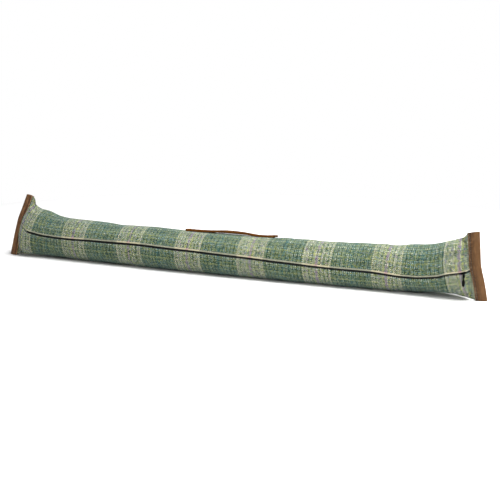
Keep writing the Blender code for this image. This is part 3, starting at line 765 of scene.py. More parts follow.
@dataclass(frozen=True)
class Tweed:
    """A heathered wool tweed of thick and thin yarns, striped across and faintly lengthwise."""

    yarn: float = CLOTH_ROUND / 140
    repeat: float = 130.5
    first_stripe: float = -460.5
    lengthwise: float = CLOTH_ROUND / 6
    lengthwise_first: float = 24.0
    dash: float = 3.4
    stripe_half: float = 0.2
    line_soft: float = 0.004
    dark_yarns: tuple = (
        (0.0, (0.022, 0.042, 0.030)), (0.24, (0.058, 0.100, 0.066)), (0.48, (0.130, 0.158, 0.058)),
        (0.60, (0.085, 0.150, 0.145)), (0.74, (0.170, 0.212, 0.168)), (0.88, (0.300, 0.325, 0.250)),
        (0.95, (0.034, 0.115, 0.130)),
    )
    light_yarns: tuple = (
        (0.0, (0.055, 0.080, 0.048)), (0.24, (0.230, 0.262, 0.110)), (0.40, (0.230, 0.270, 0.200)),
        (0.58, (0.460, 0.460, 0.330)), (0.74, (0.280, 0.215, 0.285)), (0.84, (0.580, 0.570, 0.440)),
        (0.92, (0.200, 0.265, 0.270)),
    )
    warp_yarns: tuple = (
        (0.0, (0.024, 0.046, 0.032)), (0.22, (0.064, 0.110, 0.070)), (0.42, (0.150, 0.178, 0.068)),
        (0.56, (0.098, 0.165, 0.155)), (0.70, (0.200, 0.245, 0.190)), (0.84, (0.370, 0.390, 0.300)),
        (0.94, (0.042, 0.125, 0.140)),
    )

    def material(self) -> Material:
        """Build the finish."""
        book = NodeBook("green_tweed")
        along, round_it = book.flat("cloth")
        sway = book.patches(along * 0.11, round_it * 0.16, 0.0, 3.0)
        lean = book.patches(round_it * 0.11, along * 0.09, 4.0, 3.0)
        weft = (along + (sway - 0.5) * 1.8) / self.yarn
        warp = (round_it + (lean - 0.5) * 1.5) / self.yarn
        weft_number, warp_number = weft.floor(), warp.floor()
        weft_over = ((warp_number + weft_number) * 0.5).fraction().over(0.25)
        weft_crown = 1 - abs(weft.fraction() - 0.5) * 2
        warp_crown = 1 - abs(warp.fraction() - 0.5) * 2

        weft_dash = self.dashes(book, weft_number, round_it, 3.0)
        warp_dash = self.dashes(book, warp_number, along, 8.0)
        weft_colour = self.weft_colour(book, along, weft_number, weft_dash)
        warp_colour = self.warp_colour(book, along, round_it, warp_number, warp_dash)
        colour = book.mix(weft_over, warp_colour, weft_colour)
        crown = (weft_over * weft_crown + (1 - weft_over) * warp_crown) ** 0.6
        heather = book.patches(along * 0.5, round_it * 0.5, 2.0, 2.0, 0.6)
        cloud = book.patches(along * 0.03, round_it * 0.03, 7.0)
        # painted shade: each yarn lighter along its crown and darker where it dips, times the
        # heather and cloud noises
        shade = (crown * 0.62 + 0.45) * (heather * 2.0).smallest(2.0) * (cloud * 0.3 + 0.72)
        colour = book.tint(colour, shade)
        colour = self.lip_colour(book, colour, round_it, along, shade)
        fuzz = book.patches(along * 2.6, round_it * 2.6)
        book.bump(crown + fuzz * 0.4, 0.5, 0.9)
        book.set(base_color=colour, roughness=0.95, specular_ior_level=0.1)
        book.set(sheen_weight=0.26, sheen_roughness=0.4, sheen_tint=(0.6, 0.85, 0.95))
        return book.material

    def cross_place(self, along: Field) -> Field:
        """Where a point is in the repeat of the cross stripes, from -0.5 to 0.5."""
        return ((along - self.first_stripe) / self.repeat + 20.5).fraction() - 0.5

    def dashes(self, book: NodeBook, number: Field, length: Field, seed: float) -> Field:
        """A random number that changes every few millimetres along each yarn.

        Args:
            book: The material's nodes.
            number: Which yarn it is.
            length: Where along the yarn a point is.
            seed: Keeps the two sets of yarns apart.

        Returns:
            The number, from 0 to 1.
        """
        start = book.random(number, seed, 1.0) * 50.0
        return book.random(number, (length / self.dash + start).floor(), seed)

    def weft_colour(self, book: NodeBook, along: Field, number: Field, dash: Field) -> Field:
        """The yarns that run round the tube, which carry the cross stripes."""
        place = self.cross_place(along)
        away = abs(place)
        own = book.random(number, 3.0, 1.0)
        pick = (dash * 0.6 + own * 0.45 - 0.03).smallest(0.999)
        light = place.band(0.0, self.stripe_half, self.line_soft)
        dark, bright = book.ramp(pick, self.dark_yarns), book.ramp(pick, self.light_yarns)
        colour = book.mix(light, dark, bright)
        order = (number * 0.25).fraction()
        pale = book.mix(light, (0.17, 0.20, 0.14), (0.42, 0.40, 0.32))
        colour = book.mix((1 - order.over(0.2)) * (dash * 0.6 + 0.2), colour, pale)
        thin = order.band(0.5, 0.2, 0.02)
        colour = book.tint(colour, 1.2 - light * 0.07 - thin * (0.72 - light * 0.38))
        lines = (
            (0.042, 0.010, dash.over(0.45), (0.46, 0.49, 0.16)),
            (self.stripe_half, 0.009, dash * 0.35 + 0.55, (0.66, 0.61, 0.44)),
            (0.0, 0.016, dash.over(0.25) * 0.9, (0.34, 0.22, 0.36)),
            (0.492, 0.009, dash.over(0.35) * 0.8, (0.02, 0.11, 0.13)),
        )
        for middle, half, share, line in lines:
            colour = book.mix(away.band(middle, half, self.line_soft) * share, colour, line)
        return colour

    def warp_colour(
        self, book: NodeBook, along: Field, round_it: Field, number: Field, dash: Field
    ) -> Field:
        """The yarns that run along the tube, with the faint lengthwise stripes."""
        own = book.random(number, 8.0, 5.0)
        base = book.ramp((dash * 0.5 + own * 0.55 - 0.03).smallest(0.999), self.warp_yarns)
        base = book.tint(base, (number * 0.5).fraction().over(0.25) * 1.1 + 0.48)
        olive = (1 - (number * 0.25).fraction().over(0.2)) * dash.over(0.3) * 0.6
        base = book.mix(olive, base, (0.25, 0.28, 0.08))
        place = ((round_it - self.lengthwise_first) / self.lengthwise + 20.5).fraction() - 0.5
        faint = book.patches(along * 0.05, number, 3.0).step(0.4, 0.62)
        return book.mix(abs(place).band(0.0, 0.03, 0.012) * faint * 0.75, base, (0.40, 0.43, 0.13))

    def lip_colour(
        self, book: NodeBook, colour: Field, round_it: Field, along: Field, shade: Field
    ) -> Field:
        """The cream edge over the zip, tinted where a cross stripe meets it."""
        place = self.cross_place(along)
        light = place.band(0.0, self.stripe_half, 0.01)
        patchy = book.patches(along * 0.5, round_it * 0.6, 11.0)
        cream = book.mix(light, (0.38, 0.36, 0.25), (0.74, 0.64, 0.41))
        cream = book.mix(patchy.step(0.45, 0.65) * 0.65, cream, (0.44, 0.47, 0.37))
        cream = book.mix(abs(place).band(0.0, 0.022, 0.006) * 0.7, cream, (0.62, 0.34, 0.36))
        # the painted yarn shade also lightens and darkens the cream
        cream = book.tint(cream, shade * 0.6 + 0.25)
        ends = along.step(-462.0, -418.0)
        closed = along.step(406.0, 428.0) * (1 - along.step(449.0, 452.0))
        worn = patchy.step(0.35, 0.6) * 0.3 + 0.68
        lip = round_it.band(2.8, 1.55, 0.6) * (ends * 0.7 + 0.3) * worn
        wider = round_it.band(-1.9, 1.1, 0.2) * along.step(230.0, 290.0)
        gap = round_it.band(-0.65, 2.1, 0.15).largest(wider)
        # near-black over the groove, and a band below it towards the right end: the zip tape's
        # black and painted shade in the gap
        tape_black_and_shade = gap * ends.step(0.3, 0.8) * (1 - closed * 0.75)
        colour = book.mix(lip, colour, cream)
        return book.mix(tape_black_and_shade, colour, (0.001, 0.001, 0.001))


class Hide(Enum):
    """Which leather a piece is cut from: its main, dark and worn colours, the worn one also
    painting highlights.
    """

    DARK = ((0.175, 0.085, 0.038), (0.045, 0.020, 0.010), (0.38, 0.21, 0.10))
    MID = ((0.061, 0.0315, 0.013), (0.022, 0.010, 0.005), (0.20, 0.098, 0.038))
    CHESTNUT = ((0.15, 0.058, 0.014), (0.045, 0.016, 0.006), (0.26, 0.11, 0.03))


@dataclass(frozen=True)
class Leather:
    """Waxed leather with a fine grain, mottling and worn edges."""

    name: str
    hide: Hide
    fold_wear: float = 0.0
    edges: tuple[float, ...] = ()
    edge_width: float = 1.2
    grooves: tuple[float, ...] = ()
    # Where a painted highlight runs down a rolled face, in millimetres from the fold, 0 for none;
    # above 0 it also paints glints near the inner edge
    roll: float = 0.0
    roughness: float = 0.5
    gloss: float = 0.1

    def material(self) -> Material:
        """Build the finish."""
        main, dark, worn = self.hide.value
        book = NodeBook(self.name)
        across, along = book.flat("hide")
        place = book.place()
        cloud = book.noise(place, 90.0, 4.0, 0.65)
        patch = book.noise(place, 28.0)
        colour = book.mix((cloud * 2.0 - 0.5) * 0.75, main, dark)
        streak = book.patches(across * 0.35, along * 0.07, 6.0, 3.0)
        colour = book.mix(streak.step(0.45, 0.75) * 0.45, colour, worn)
        off_fold = abs(across)
        if self.roll:
            # painted highlight: a lighter band down the rolled face, in the worn colour
            colour = book.mix(off_fold.band(self.roll, 5.5, 5.0) * 0.42, colour, worn)
        broken = book.patches(along * 0.3, 2.0, 9.0).step(0.4, 0.62) * 0.85 + 0.15
        for edge in self.edges:
            rub = off_fold.band(edge, self.edge_width, 0.7) * (cloud * 0.8 + 0.35) * broken
            colour = book.mix(rub, colour, worn)
        if self.fold_wear:
            rub = (1 - off_fold.step(0.6, self.fold_wear)) * (patch * 0.9 + 0.2)
            colour = book.mix(rub, colour, worn)
        for groove in self.grooves:
            colour = book.mix(off_fold.band(groove, 1.6, 1.2) * 0.75, colour, dark)
        if self.roll:
            # painted glints: pale specks along the inner edge
            painted_glints = book.patches(across * 0.9, along * 0.55, 5.0, 1.0).step(0.6, 0.68) * 0.8
            edge = off_fold.band(19.0, 1.6, 0.4)
            colour = book.mix(edge * painted_glints, colour, (0.5, 0.38, 0.26))
        grain = book.cells(place, 900.0, "DISTANCE_TO_EDGE")
        pores = book.cells(place, 1500.0, "F1")
        crease = book.patches(across * 0.12, along * 0.5, 2.0, 4.0, 0.6)
        height = grain.step(0.0, 0.12) * 0.6 + pores * 0.3 + crease.step(0.3, 0.6) * 0.9
        colour = book.tint(colour, grain.step(0.0, 0.1) * 0.2 + 0.85)
        book.bump(height, 0.16, 0.7)
        book.set(base_color=colour, roughness=cloud * 0.25 + (self.roughness - 0.12))
        book.set(specular_ior_level=self.gloss, coat_weight=self.gloss * 0.1, coat_roughness=0.4)
        return book.material


@dataclass(frozen=True)
class PlainFinish:
    """A finish of two colours that a noise mixes, with a fine relief if it has one."""

    name: str
    low: Colour
    high: Colour
    scale: float
    roughness: float
    specular: float = 0.5
    rougher: float = 0.0
    relief: tuple[float, ...] = ()
    detail: tuple[float, float] = (2.0, 0.5)
    edges: tuple[float, ...] = ()

    def material(self) -> Material:
        """Build the finish."""
        book = NodeBook(self.name)
        place = book.place()
        share = book.noise(place, self.scale, *self.detail)
        if self.edges:
            share = share.step(*self.edges)
        if self.relief:
            scale, depth, strength = self.relief
            book.bump(book.noise(place, scale), depth, strength)
        roughness = share * self.rougher + self.roughness if self.rougher else self.roughness
        book.set(base_color=book.mix(share, self.low, self.high), roughness=roughness)
        book.set(specular_ior_level=self.specular)
        return book.material


def thread(name: str, colour: Colour) -> Material:
    """Twisted waxed thread, a little darker and lighter in turn."""
    low, high = (tuple(channel * shade for channel in colour) for shade in (0.7, 1.3))
    return PlainFinish(name, low, high, 160.0, 0.7, relief=(2600.0, 0.08, 0.6)).material()


BLACK_ZIP = PlainFinish(
    "black_zip_teeth", (0.004, 0.004, 0.005), (0.012, 0.012, 0.013), 300.0, 0.5, 0.12, 0.2,
    (2400.0, 0.05, 0.5),
)
# The paint of the slider and the pull, with rubbed patches
BLACK_ENAMEL = PlainFinish(
    "black_enamel", (0.002, 0.002, 0.002), (0.007, 0.007, 0.0065), 700.0, 0.5, 0.06, -0.2,
    (1800.0, 0.03, 0.4), (4.0, 0.7), (0.6, 0.78),
)
PALE_FLOOR = PlainFinish("pale_floor", (0.9, 0.9, 0.9), (0.91, 0.91, 0.91), 3.0, 0.9, 0.1)


# ---------------------------------------------------------------- pieces


@dataclass
class Cushion:
    """The filled tweed tube."""

    form: TubeForm
    fine_step: float = 1.0
    step: float = 1.75
    end_length: float = 62.0
    round_points: int = 104
    fill: float = 0.8
    lumps: int = 26
    lump_depth: float = 0.085
    gathers: int = 10
    gather_depth: float = 0.16
    strap_middle: tuple[float, float] = (2.0, 98.0)
    strap_half: tuple[float, float] = (96.0, 14.0)
    mm_per_degree: float = 0.7
    calm: float = 15.0

    def layout(self) -> tuple[Array, Array, Array]:
        """The places of the cloth's grid.

        Returns:
            Each point's x, its angle, and how far the lip lifts it.
        """
        x = self.form.stations(self.fine_step, self.step, self.end_length)[:, None]
        lip = np.array(LIP)
        per_mm = np.degrees(1 / self.form.half_height(x))
        middle = self.form.zip_angle(x)
        lip_angles = middle + lip[:, 0] * per_mm
        last = middle + 360 + lip[0, 0] * per_mm
        share = np.linspace(0, 1, self.round_points + 2)[1:-1]
        rest = lip_angles[:, -1:] + (last - lip_angles[:, -1:]) * share
        angle = np.hstack((lip_angles, rest))
        lift = np.concatenate((lip[:, 1], np.zeros(self.round_points))) * self.form.zip_share(x)
        return np.broadcast_to(x, angle.shape), angle, lift

    def cloth_places(self, x: Array, points: Array) -> Array:
        """Flat coordinates of the cloth, in metres: along the tube, and round it from the zip."""
        joined_up = np.concatenate((points, points[:, :1]), axis=1)
        length = np.linalg.norm(np.diff(joined_up, axis=1), axis=-1)
        walked = np.hstack((np.zeros((len(x), 1)), np.cumsum(length, axis=1)))
        lip = np.array(LIP)
        below = -lip[0, 0] / (lip[-1, 0] - lip[0, 0])
        zip_at = walked[:, len(lip) - 1 : len(lip)] * below
        round_it = (walked - zip_at) / walked[:, -1:] * CLOTH_ROUND
        along = np.hstack((x, x[:, -1:]))
        return np.stack((along, round_it), axis=-1) * MM

    def wrinkles(self, x: Array, round_it: Array) -> Array:
        """Small relief of the cloth: lumps of the filling, and gathers beside the end seams."""
        chance = np.random.default_rng(11)
        total = np.zeros_like(x)
        for _ in range(self.lumps):
            waves = chance.integers(1, 7)
            length, turn = chance.uniform(45, 150), chance.uniform(0, 2 * math.pi)
            total += np.cos(2 * math.pi * (x / length + waves * round_it / CLOTH_ROUND) + turn)
        total *= self.lump_depth
        for end, reach in ((-472.0, 13.0), (466.0, 11.0)):
            gathers = np.zeros_like(x)
            for _ in range(self.gathers):
                turns = chance.integers(12, 40) * round_it / CLOTH_ROUND
                gathers += np.cos(2 * math.pi * turns + chance.uniform(0, 6.28))
            total += self.gather_depth * gathers * np.exp(-np.abs(x - end) / reach)
        return total

    def build(self, material: Material) -> Piece:
        x, angle, lift = self.layout()
        points, _, out = self.form.surface(x, angle)
        places = self.cloth_places(x, points)
        round_it = places[:, :-1, 1] / MM
        relief = self.wrinkles(x, round_it) * self.form.swollen(x) * eased(np.abs(round_it) / 14)
        (middle_x, middle_angle), (half_x, half_width) = self.strap_middle, self.strap_half
        off_side = np.abs(angle - middle_angle) * self.mm_per_degree - half_width
        relief *= eased(np.maximum(np.abs(x - middle_x) - half_x, off_side) / self.calm)
        points = points + out * (lift + relief)[..., None]
        points[..., 2] = np.maximum(points[..., 2], 0.0)
        mesh = rings_mesh("tweed_cushion", points, places, "cloth")
        piece = placed(mesh, material, "filled_tube")
        return piece


@dataclass
class EndStrip:
    """A leather strip folded round one end seam, with its two rows of stitches."""

    name: str
    node: str
    seam: EndSeam
    slot: str
    gape: float
    wrinkle_seed: int
    rows: int = 96
    face_points: int = 46
    wrinkles: int = 16
    wrinkle_depth: float = 0.07
    stitch_inset: float = 17.0
    stitch_pitch: float = 4.1
    stitch_length: float = 3.1
    stitch_ends: tuple[float, float] = (3.4, STRIP_HEIGHT - 5)
    stitch_sunk: float = 0.32
    stitch_rise: float = 0.34
    thread: float = 0.33
    front_rise: float = 1.3
    gape_middle: float = 9.5
    gape_half: float = 9.0
    gape_from: float = 100.0

    def outline(self) -> Array:
        """The folded sheet across the strip: inset from the fold, and distance off the seam."""
        inner = SEAM_HALF_THICKNESS + CLEAR
        fold = inner + LEATHER
        wide = STRIP_WIDTH
        outside = rounded(
            (
                (wide, fold - 0.7), (wide - 0.3, fold - 0.1), (wide - 1.3, fold + 0.15),
                (wide - 2.6, fold + 0.2), (wide - 3.5, fold - 0.15), (wide - 4.0, fold - 0.4),
                (wide - 4.6, fold - 0.1), (wide - 6.5, fold + 0.35), (11.0, fold + 0.5),
                (6.5, fold + 0.3), (3.2, fold - 0.4), (1.0, fold - 1.7), (0.0, 0.0),
            ),
            self.face_points,
        )
        inside = rounded(
            (
                (wide, inner + 0.3), (wide - 2.0, inner), (wide - 6.5, inner), (11.0, inner),
                (7.0, inner), (4.6, inner - 0.3), (2.8, inner - 1.0), (LEATHER + 0.2, 0.0),
            ),
            self.face_points,
        )
        mirror = np.array((1.0, -1.0))
        outer = np.vstack((outside, outside[-2::-1] * mirror))
        lining = np.vstack((inside, inside[-2::-1] * mirror))
        return np.vstack((outer, lining[::-1]))

    def build(self, material: Material) -> Piece:
        """Make the folded strip."""
        outline = self.outline()
        inset, off = outline[:, 0], outline[:, 1]
        share = np.linspace(0, 1, self.rows)[:, None]
        top = STRIP_HEIGHT - STRIP_TOP_SLOPE * inset / STRIP_WIDTH
        covers = self.front_rise * eased((inset - 3.5) / 4) * (off > 0)
        height = top * share + covers * share**12
        off = off * np.ones_like(share)
        off = off + np.sign(off) * self.opening(inset, height) + self.creases(inset, height, off)
        points = self.seam.point(inset, height) + self.seam.front(height) * off[..., None]
        points[..., 2] = np.maximum(height, 0.0)
        flat_across = np.where(np.arange(len(inset)) < len(inset) // 2 + 1, inset, STRIP_WIDTH + 4)
        places = np.stack((np.broadcast_to(flat_across, height.shape), height), axis=-1) * MM
        places = np.concatenate((places, places[:, :1]), axis=1)
        mesh = rings_mesh(self.name, points, places, "hide", fans=False)
        return placed(mesh, material, self.node)

    def opening(self, inset: Array, height: Array) -> Array:
        """How far the two layers stand apart at the top end."""
        lens = np.clip(1 - ((inset - self.gape_middle) / self.gape_half) ** 2, 0, 1)
        return self.gape * lens * eased((height - self.gape_from) / (SEAM_TOP - self.gape_from))

    def creases(self, inset: Array, height: Array, off: Array) -> Array:
        """Wrinkles in the leather, none at its fold or its stitches."""
        chance = np.random.default_rng(self.wrinkle_seed)
        total = np.zeros_like(height)
        for _ in range(self.wrinkles):
            length, lean = chance.uniform(7, 34), chance.uniform(-0.8, 0.8)
            turns = (height + lean * inset) / length
            total += np.cos(2 * math.pi * turns + chance.uniform(0, 6.28))
        near_stitches = eased(np.abs(self.stitch_inset - inset) / 3)
        total *= self.wrinkle_depth * eased(inset / 5) * near_stitches
        return total * np.sign(off)

    def stitches(self, material: Material) -> Piece:
        """Make the stitches of both faces."""
        fold = SEAM_HALF_THICKNESS + CLEAR + LEATHER
        middle = np.arange(*self.stitch_ends, self.stitch_pitch)[:, None]
        height = middle + STITCH_RUN * self.stitch_length
        off = (fold - self.stitch_sunk + self.stitch_rise * STITCH_ARCH)[:, None]
        seam, front = self.seam.point(self.stitch_inset, height), self.seam.front(height)
        paths = [seam + front * off * face for face in (1, -1)]
        outs = [self.seam.front(middle[:, 0]) * face for face in (1, -1)]
        mesh = threads_mesh(f"{self.name}_stitches", np.vstack(paths), np.vstack(outs), self.thread)
        return placed(mesh, material)


@dataclass
class CarryStrap:
    """The leather strap along the top, stitched down at both ends."""

    form: TubeForm
    width: float = 20.0
    step: float = 1.5
    taper: float = 0.06
    swell: float = 1.12
    stitch_rows: tuple[float, ...] = (-88.0, -79.5, 82.0, 90.0)
    stitch_places: tuple[float, ...] = (-7.5, -4.5, -1.5, 1.5, 4.5, 7.5)
    stitch_length: float = 2.4
    stitch_level: float = 1.15
    stitch_sunk: float = 0.16
    stitch_rise: float = 0.3
    thread: float = 0.32
    table: SmoothTable = field(default_factory=lambda: SmoothTable(STRAP))

    def path(self, x: Array) -> tuple[Array, Array, Array, Array]:
        """Where the strap runs.

        Args:
            x: Places along it.

        Returns:
            The middle of its underside, the directions across and off it, and its thickness.
        """
        rise, thickness, angle, lean = self.table.at(x)
        point, up, out = self.form.surface(x, angle)
        sine, cosine = np.sin(np.radians(lean))[..., None], np.cos(np.radians(lean))[..., None]
        side, lift = up * cosine - out * sine, out * cosine + up * sine
        return point + out * rise[..., None], side, lift, thickness

    def build(self, material: Material) -> Piece:
        """Make the strap."""
        first, last = self.table.place[0], self.table.place[-1]
        x = np.linspace(first, last, int(round((last - first) / self.step)) + 1)
        middle, side, lift, thickness = self.path(x)
        # half a section: across it in halves of its width, and up it in shares of its thickness
        right = np.array((
            (0.0, 0.0), (0.5, 0.0), (0.90, 0.0), (0.96, 0.07), (0.99, 0.2), (1.0, 0.38),
            (0.985, 0.5), (1.0, 0.62), (0.99, 0.8), (0.96, 0.93), (0.92, 1.0), (0.84, 1.0),
            (0.8, 0.97), (0.76, 1.0), (0.4, 1.03), (0.0, 1.04),
        ))
        shape = np.vstack((right, right[-2:0:-1] * (-1, 1)))
        end = np.minimum(x - first, last - x)
        half = self.width / 2 * (1 - self.taper * (1 - eased(end / 3)))
        across = shape[:, 0] * half[:, None]
        curl = eased((-shape[:, 0] - 0.5) / 0.4) * (1 - shape[:, 1])
        off = shape[:, 1] * thickness[:, None] * self.swell - curl
        points = middle[:, None] + side[:, None] * across[..., None]
        points += lift[:, None] * off[..., None]
        walked = np.hstack((across, across[:, :1]))
        places = np.stack((walked, np.broadcast_to(x[:, None], walked.shape)), axis=-1) * MM
        mesh = rings_mesh("chestnut_strap", points, places, "hide")
        return placed(mesh, material, "carry_strap")

    def stitches(self, material: Material) -> Piece:
        """Make the short rows of stitches across both ends."""
        paths, outs = [], []
        for row in self.stitch_rows:
            middle, side, lift, thickness = self.path(np.array([row]))
            off = thickness * self.stitch_level - self.stitch_sunk + self.stitch_rise * STITCH_ARCH
            for place in self.stitch_places:
                run = place + STITCH_RUN * self.stitch_length
                paths.append(middle + side * run[:, None] + lift * off[:, None])
                outs.append(lift[0])
        mesh = threads_mesh("strap_stitches", np.array(paths), np.array(outs), self.thread)
        return placed(mesh, material)


@dataclass
class ZipFitting:
    """The closed zip in its groove, with its slider and pull."""

    form: TubeForm
    first: float = -444.0
    last: float = 460.8
    tooth_pitch: float = 1.35
    ridge: float = 0.22
    slider_x: float = 456.8
    # The levels of the slider's parts over the cloth's surface
    stem_level: float = 0.85
    plate_level: float = 2.65
    bridge_level: float = 3.3
    bar_level: float = 5.7
    plate: float = 1.3
    bevel: float = 0.4

    def teeth(self, material: Material) -> Piece:
        """Make the closed teeth as one strip of crossing ridges."""
        x = np.linspace(self.first, self.last, int((self.last - self.first) / self.tooth_pitch * 4))
        point, up, out = self.form.surface(x, self.form.zip_angle(x))
        low = -GROOVE_DEPTH + CLEAR + 0.1
        phase = 2 * math.pi * x / self.tooth_pitch
        shape = np.array((
            (-1.7, 0.0), (0.0, 0.0), (1.0, 0.0), (1.0, 0.35), (0.7, 0.75), (0.2, 0.9), (-0.35, 0.7),
            (-0.9, 0.9), (-1.4, 0.75), (-1.7, 0.35),
        ))
        side = np.sign(shape[:, 0]) * (shape[:, 1] > 0.3)
        turned = phase[:, None] + np.where(side > 0, 0.0, math.pi)
        ridge = self.ridge * np.cos(turned) * np.abs(side)
        off = low + np.minimum(shape[:, 1] + ridge, 0.92)
        points = point[:, None] + up[:, None] * shape[:, :1] + out[:, None] * off[..., None]
        places = np.zeros((len(x), len(shape) + 1, 2))
        mesh = rings_mesh("zip_teeth", points, places, "hide")
        return placed(mesh, material, "zip_tape")

    def slider_frame(self) -> Matrix:
        """X along the zip, Y up over the cloth and Z out of it, at the slider."""
        x = self.slider_x + np.array((-3.0, 0.0, 3.0))
        point, _, out = self.form.surface(x, self.form.zip_angle(x))
        along = Vector(unit(point[2] - point[0]))
        outward = Vector(out[1])
        outward = (outward - along * outward.dot(along)).normalized()
        turn = Matrix((along, outward.cross(along), outward)).transposed().to_4x4()
        return Matrix.Translation(Vector((point[1] - MIDDLE) * MM)) @ turn

    def slider(self, material: Material) -> Piece:
        """Make the slider: a waisted plate, a stem into the groove and an arched bridge."""
        side = (
            (-4.5, 0.9), (-3.9, 1.7), (-1.5, 1.75), (1.2, 2.2), (3.4, 2.5), (4.3, 2.0), (4.5, 0.9),
        )
        half = rounded(side, 22)
        plate = plate_mesh(np.vstack((half, half[::-1] * (1, -1))), self.plate, self.bevel)
        stem = plate_mesh(((-2.5, -0.6), (2.5, -0.6), (2.5, 0.6), (-2.5, 0.6)), 3.6, 0.15)
        turns = np.linspace(0.02, 3.12, 16)
        arch = np.stack((2.8 * np.cos(turns), 0 * turns, 2.35 * np.sin(turns) ** 0.75), axis=-1)
        bridge = wire_mesh(arch, 0.6)
        levels = ((plate, self.plate_level), (stem, self.stem_level), (bridge, self.bridge_level))
        parts = [(piece, Matrix.Translation((0, 0, level * MM))) for piece, level in levels]
        mesh = joined("black_slider", parts)
        mesh.transform(self.slider_frame())
        return placed(mesh, material, "zip_slider")

    def pull(self, material: Material) -> Piece:
        """Make the pull: an eye round the bridge and a drop-shaped tab that hangs plumb."""
        turns = np.linspace(0, 6.28, 25)[:-1]
        ring = np.stack((0 * turns, np.cos(turns), np.sin(turns)), axis=-1) * 1.5
        eye = wire_mesh(ring, 0.5, True)
        side = rounded(
            (
                (1.2, -1.0), (1.95, -1.8), (2.1, -3.5), (2.0, -6.2), (1.0, -8.0), (0.95, -9.4),
                (2.1, -12.4), (2.75, -15.6), (2.35, -19.4), (1.3, -22.3), (0.0, -23.6),
            ),
            44,
        )
        outline = np.vstack((side, side[-2::-1] * (-1, 1)))
        tab = plate_mesh(outline, self.plate, self.bevel)
        tab.transform(Matrix.Rotation(math.radians(90), 4, "X"))
        bar = self.slider_frame() @ Vector((0.0, 0.0, self.bar_level * MM))
        mesh = joined("black_pull", ((tab, Matrix()), (eye, Matrix())))
        mesh.transform(Matrix.Translation(bar - Vector((0.0, 0.0, 0.1 * MM))))
        return placed(mesh, material, "zip_pull")


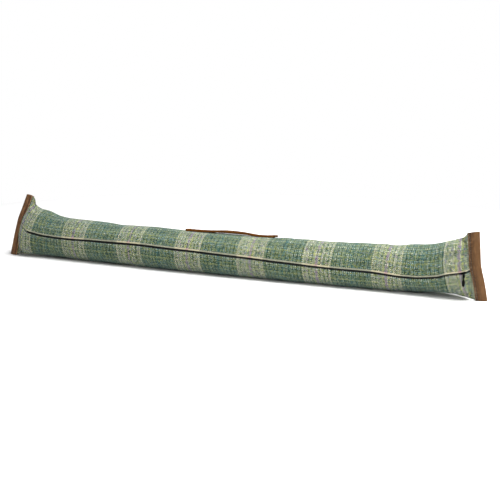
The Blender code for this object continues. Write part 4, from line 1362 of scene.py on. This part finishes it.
@dataclass
class Studio:
    """The pale floor, the soft lights and the camera."""

    eye: tuple[float, float, float] = (0.759582, -1.735758, 0.415790)
    heading: float = 0.390886
    drop: float = 0.192041
    roll: float = 0.0101065
    lens: float = 71.754
    floor_radius: float = 1.12

    def floor(self, material: Material) -> None:
        """Lay a wide floor just under the excluder."""
        mesh = bpy.data.meshes.new("floor")
        turns = np.linspace(0, 2 * math.pi, 96, endpoint=False)
        rim = np.stack((np.cos(turns), np.sin(turns), 0 * turns), axis=-1) * self.floor_radius
        mesh.from_pydata(rim.tolist(), [], [tuple(range(len(rim)))])
        mesh.materials.append(material)
        laid = bpy.data.objects.new("floor", mesh)
        laid.location.z = -0.0003
        bpy.context.scene.collection.objects.link(laid)

    def softbox(
        self,
        name: str,
        place: Sequence[float],
        size: Sequence[float],
        power: float,
        aim: Sequence[float] = (0.0, 0.0, 0.05),
    ) -> None:
        """Hang a wide light that faces the excluder.

        Args:
            name: Its name.
            place: Where it hangs.
            size: Its two sides.
            power: Its power in watts.
            aim: What it faces.
        """
        light = bpy.data.lights.new(name, "AREA")
        light.shape = "RECTANGLE"
        light.size, light.size_y = size
        light.energy = power
        lamp = bpy.data.objects.new(name, light)
        lamp.location = place
        lamp.rotation_euler = (Vector(aim) - Vector(place)).to_track_quat("-Z", "Y").to_euler()
        bpy.context.scene.collection.objects.link(lamp)

    def sky(self, brightness: float) -> None:
        """Light the room evenly from all round, before a white wall."""
        world = bpy.data.worlds.new("studio")
        world.use_nodes = True
        tree = world.node_tree
        back, wall = tree.nodes["Background"], tree.nodes.new("ShaderNodeBackground")
        for paint, strength in ((back, brightness), (wall, 1.0)):
            paint.inputs["Color"].default_value = (1.0, 1.0, 1.0, 1.0)
            paint.inputs["Strength"].default_value = strength
        choice, rays = tree.nodes.new("ShaderNodeMixShader"), tree.nodes.new("ShaderNodeLightPath")
        tree.links.new(rays.outputs["Is Camera Ray"], choice.inputs["Fac"])
        tree.links.new(back.outputs["Background"], choice.inputs[1])
        tree.links.new(wall.outputs["Background"], choice.inputs[2])
        tree.links.new(choice.outputs["Shader"], tree.nodes["World Output"].inputs["Surface"])
        bpy.context.scene.world = world

    def camera(self) -> None:
        """Stand the camera where the photograph was taken from."""
        ahead = Vector((-math.sin(self.heading), math.cos(self.heading), 0.0)) * math.cos(self.drop)
        ahead.z = -math.sin(self.drop)
        right = Vector((math.cos(self.heading), math.sin(self.heading), 0.0))
        up = right.cross(ahead)
        level, tilt = math.cos(self.roll), math.sin(self.roll)
        right, up = right * level + up * tilt, up * level - right * tilt
        data = bpy.data.cameras.new("camera")
        data.sensor_width, data.lens = 36.0, self.lens
        seen = bpy.data.objects.new("camera", data)
        turn = Matrix((right, up, -ahead)).transposed().to_4x4()
        seen.matrix_world = Matrix.Translation(self.eye) @ turn
        bpy.context.scene.collection.objects.link(seen)
        bpy.context.scene.camera = seen

    def build(self) -> None:
        """Set up the whole studio."""
        self.camera()
        self.floor(PALE_FLOOR.material())
        self.sky(0.19)
        self.softbox("overhead", (0.70, -0.02, 1.7), (1.8, 1.2), 94.0, aim=(0.5, -0.02, 0.0))
        self.softbox("front_fill", (1.4, -2.1, 1.4), (1.7, 1.5), 21.0)
        bpy.context.scene.view_settings.view_transform = "Standard"


def write_sizes() -> None:
    """Update the view layer."""
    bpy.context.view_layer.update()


def main() -> None:
    """Build the excluder's pieces in order, and the studio round them."""
    logging.basicConfig(level=logging.INFO, format="%(message)s")
    Studio().build()
    form = TubeForm()
    Cushion(form).build(Tweed().material())
    left = EndStrip("dark_end_strip", "end_strip_left", form.left, "dark_leather", 0.3, 5)
    dark = Leather("dark_brown_leather", Hide.DARK, 3.0, edges=(21.0,), grooves=(17.0,))
    left.build(dark.material())
    left.stitches(thread("dark_thread", (0.06, 0.035, 0.02)))
    right = EndStrip("mid_end_strip", "end_strip_right", form.right, "mid_leather", 1.8, 8)
    mid = Leather(
        "mid_brown_leather", Hide.MID, 3.0, (21.0, 15.4), edge_width=1.0, grooves=(17.0,), roll=6.5
    )
    right.build(mid.material())
    right.stitches(thread("brown_thread", (0.12, 0.07, 0.035)))
    strap = CarryStrap(form)
    dull = Leather("chestnut_leather", Hide.CHESTNUT, grooves=(8.0,), roughness=0.8, gloss=0.0)
    strap.build(dull.material())
    strap.stitches(thread("chestnut_thread", (0.20, 0.10, 0.04)))
    zip_fitting = ZipFitting(form)
    zip_fitting.teeth(BLACK_ZIP.material())
    enamel = BLACK_ENAMEL.material()
    zip_fitting.slider(enamel)
    zip_fitting.pull(enamel)
    write_sizes()


if __name__ == "__main__":
    main()
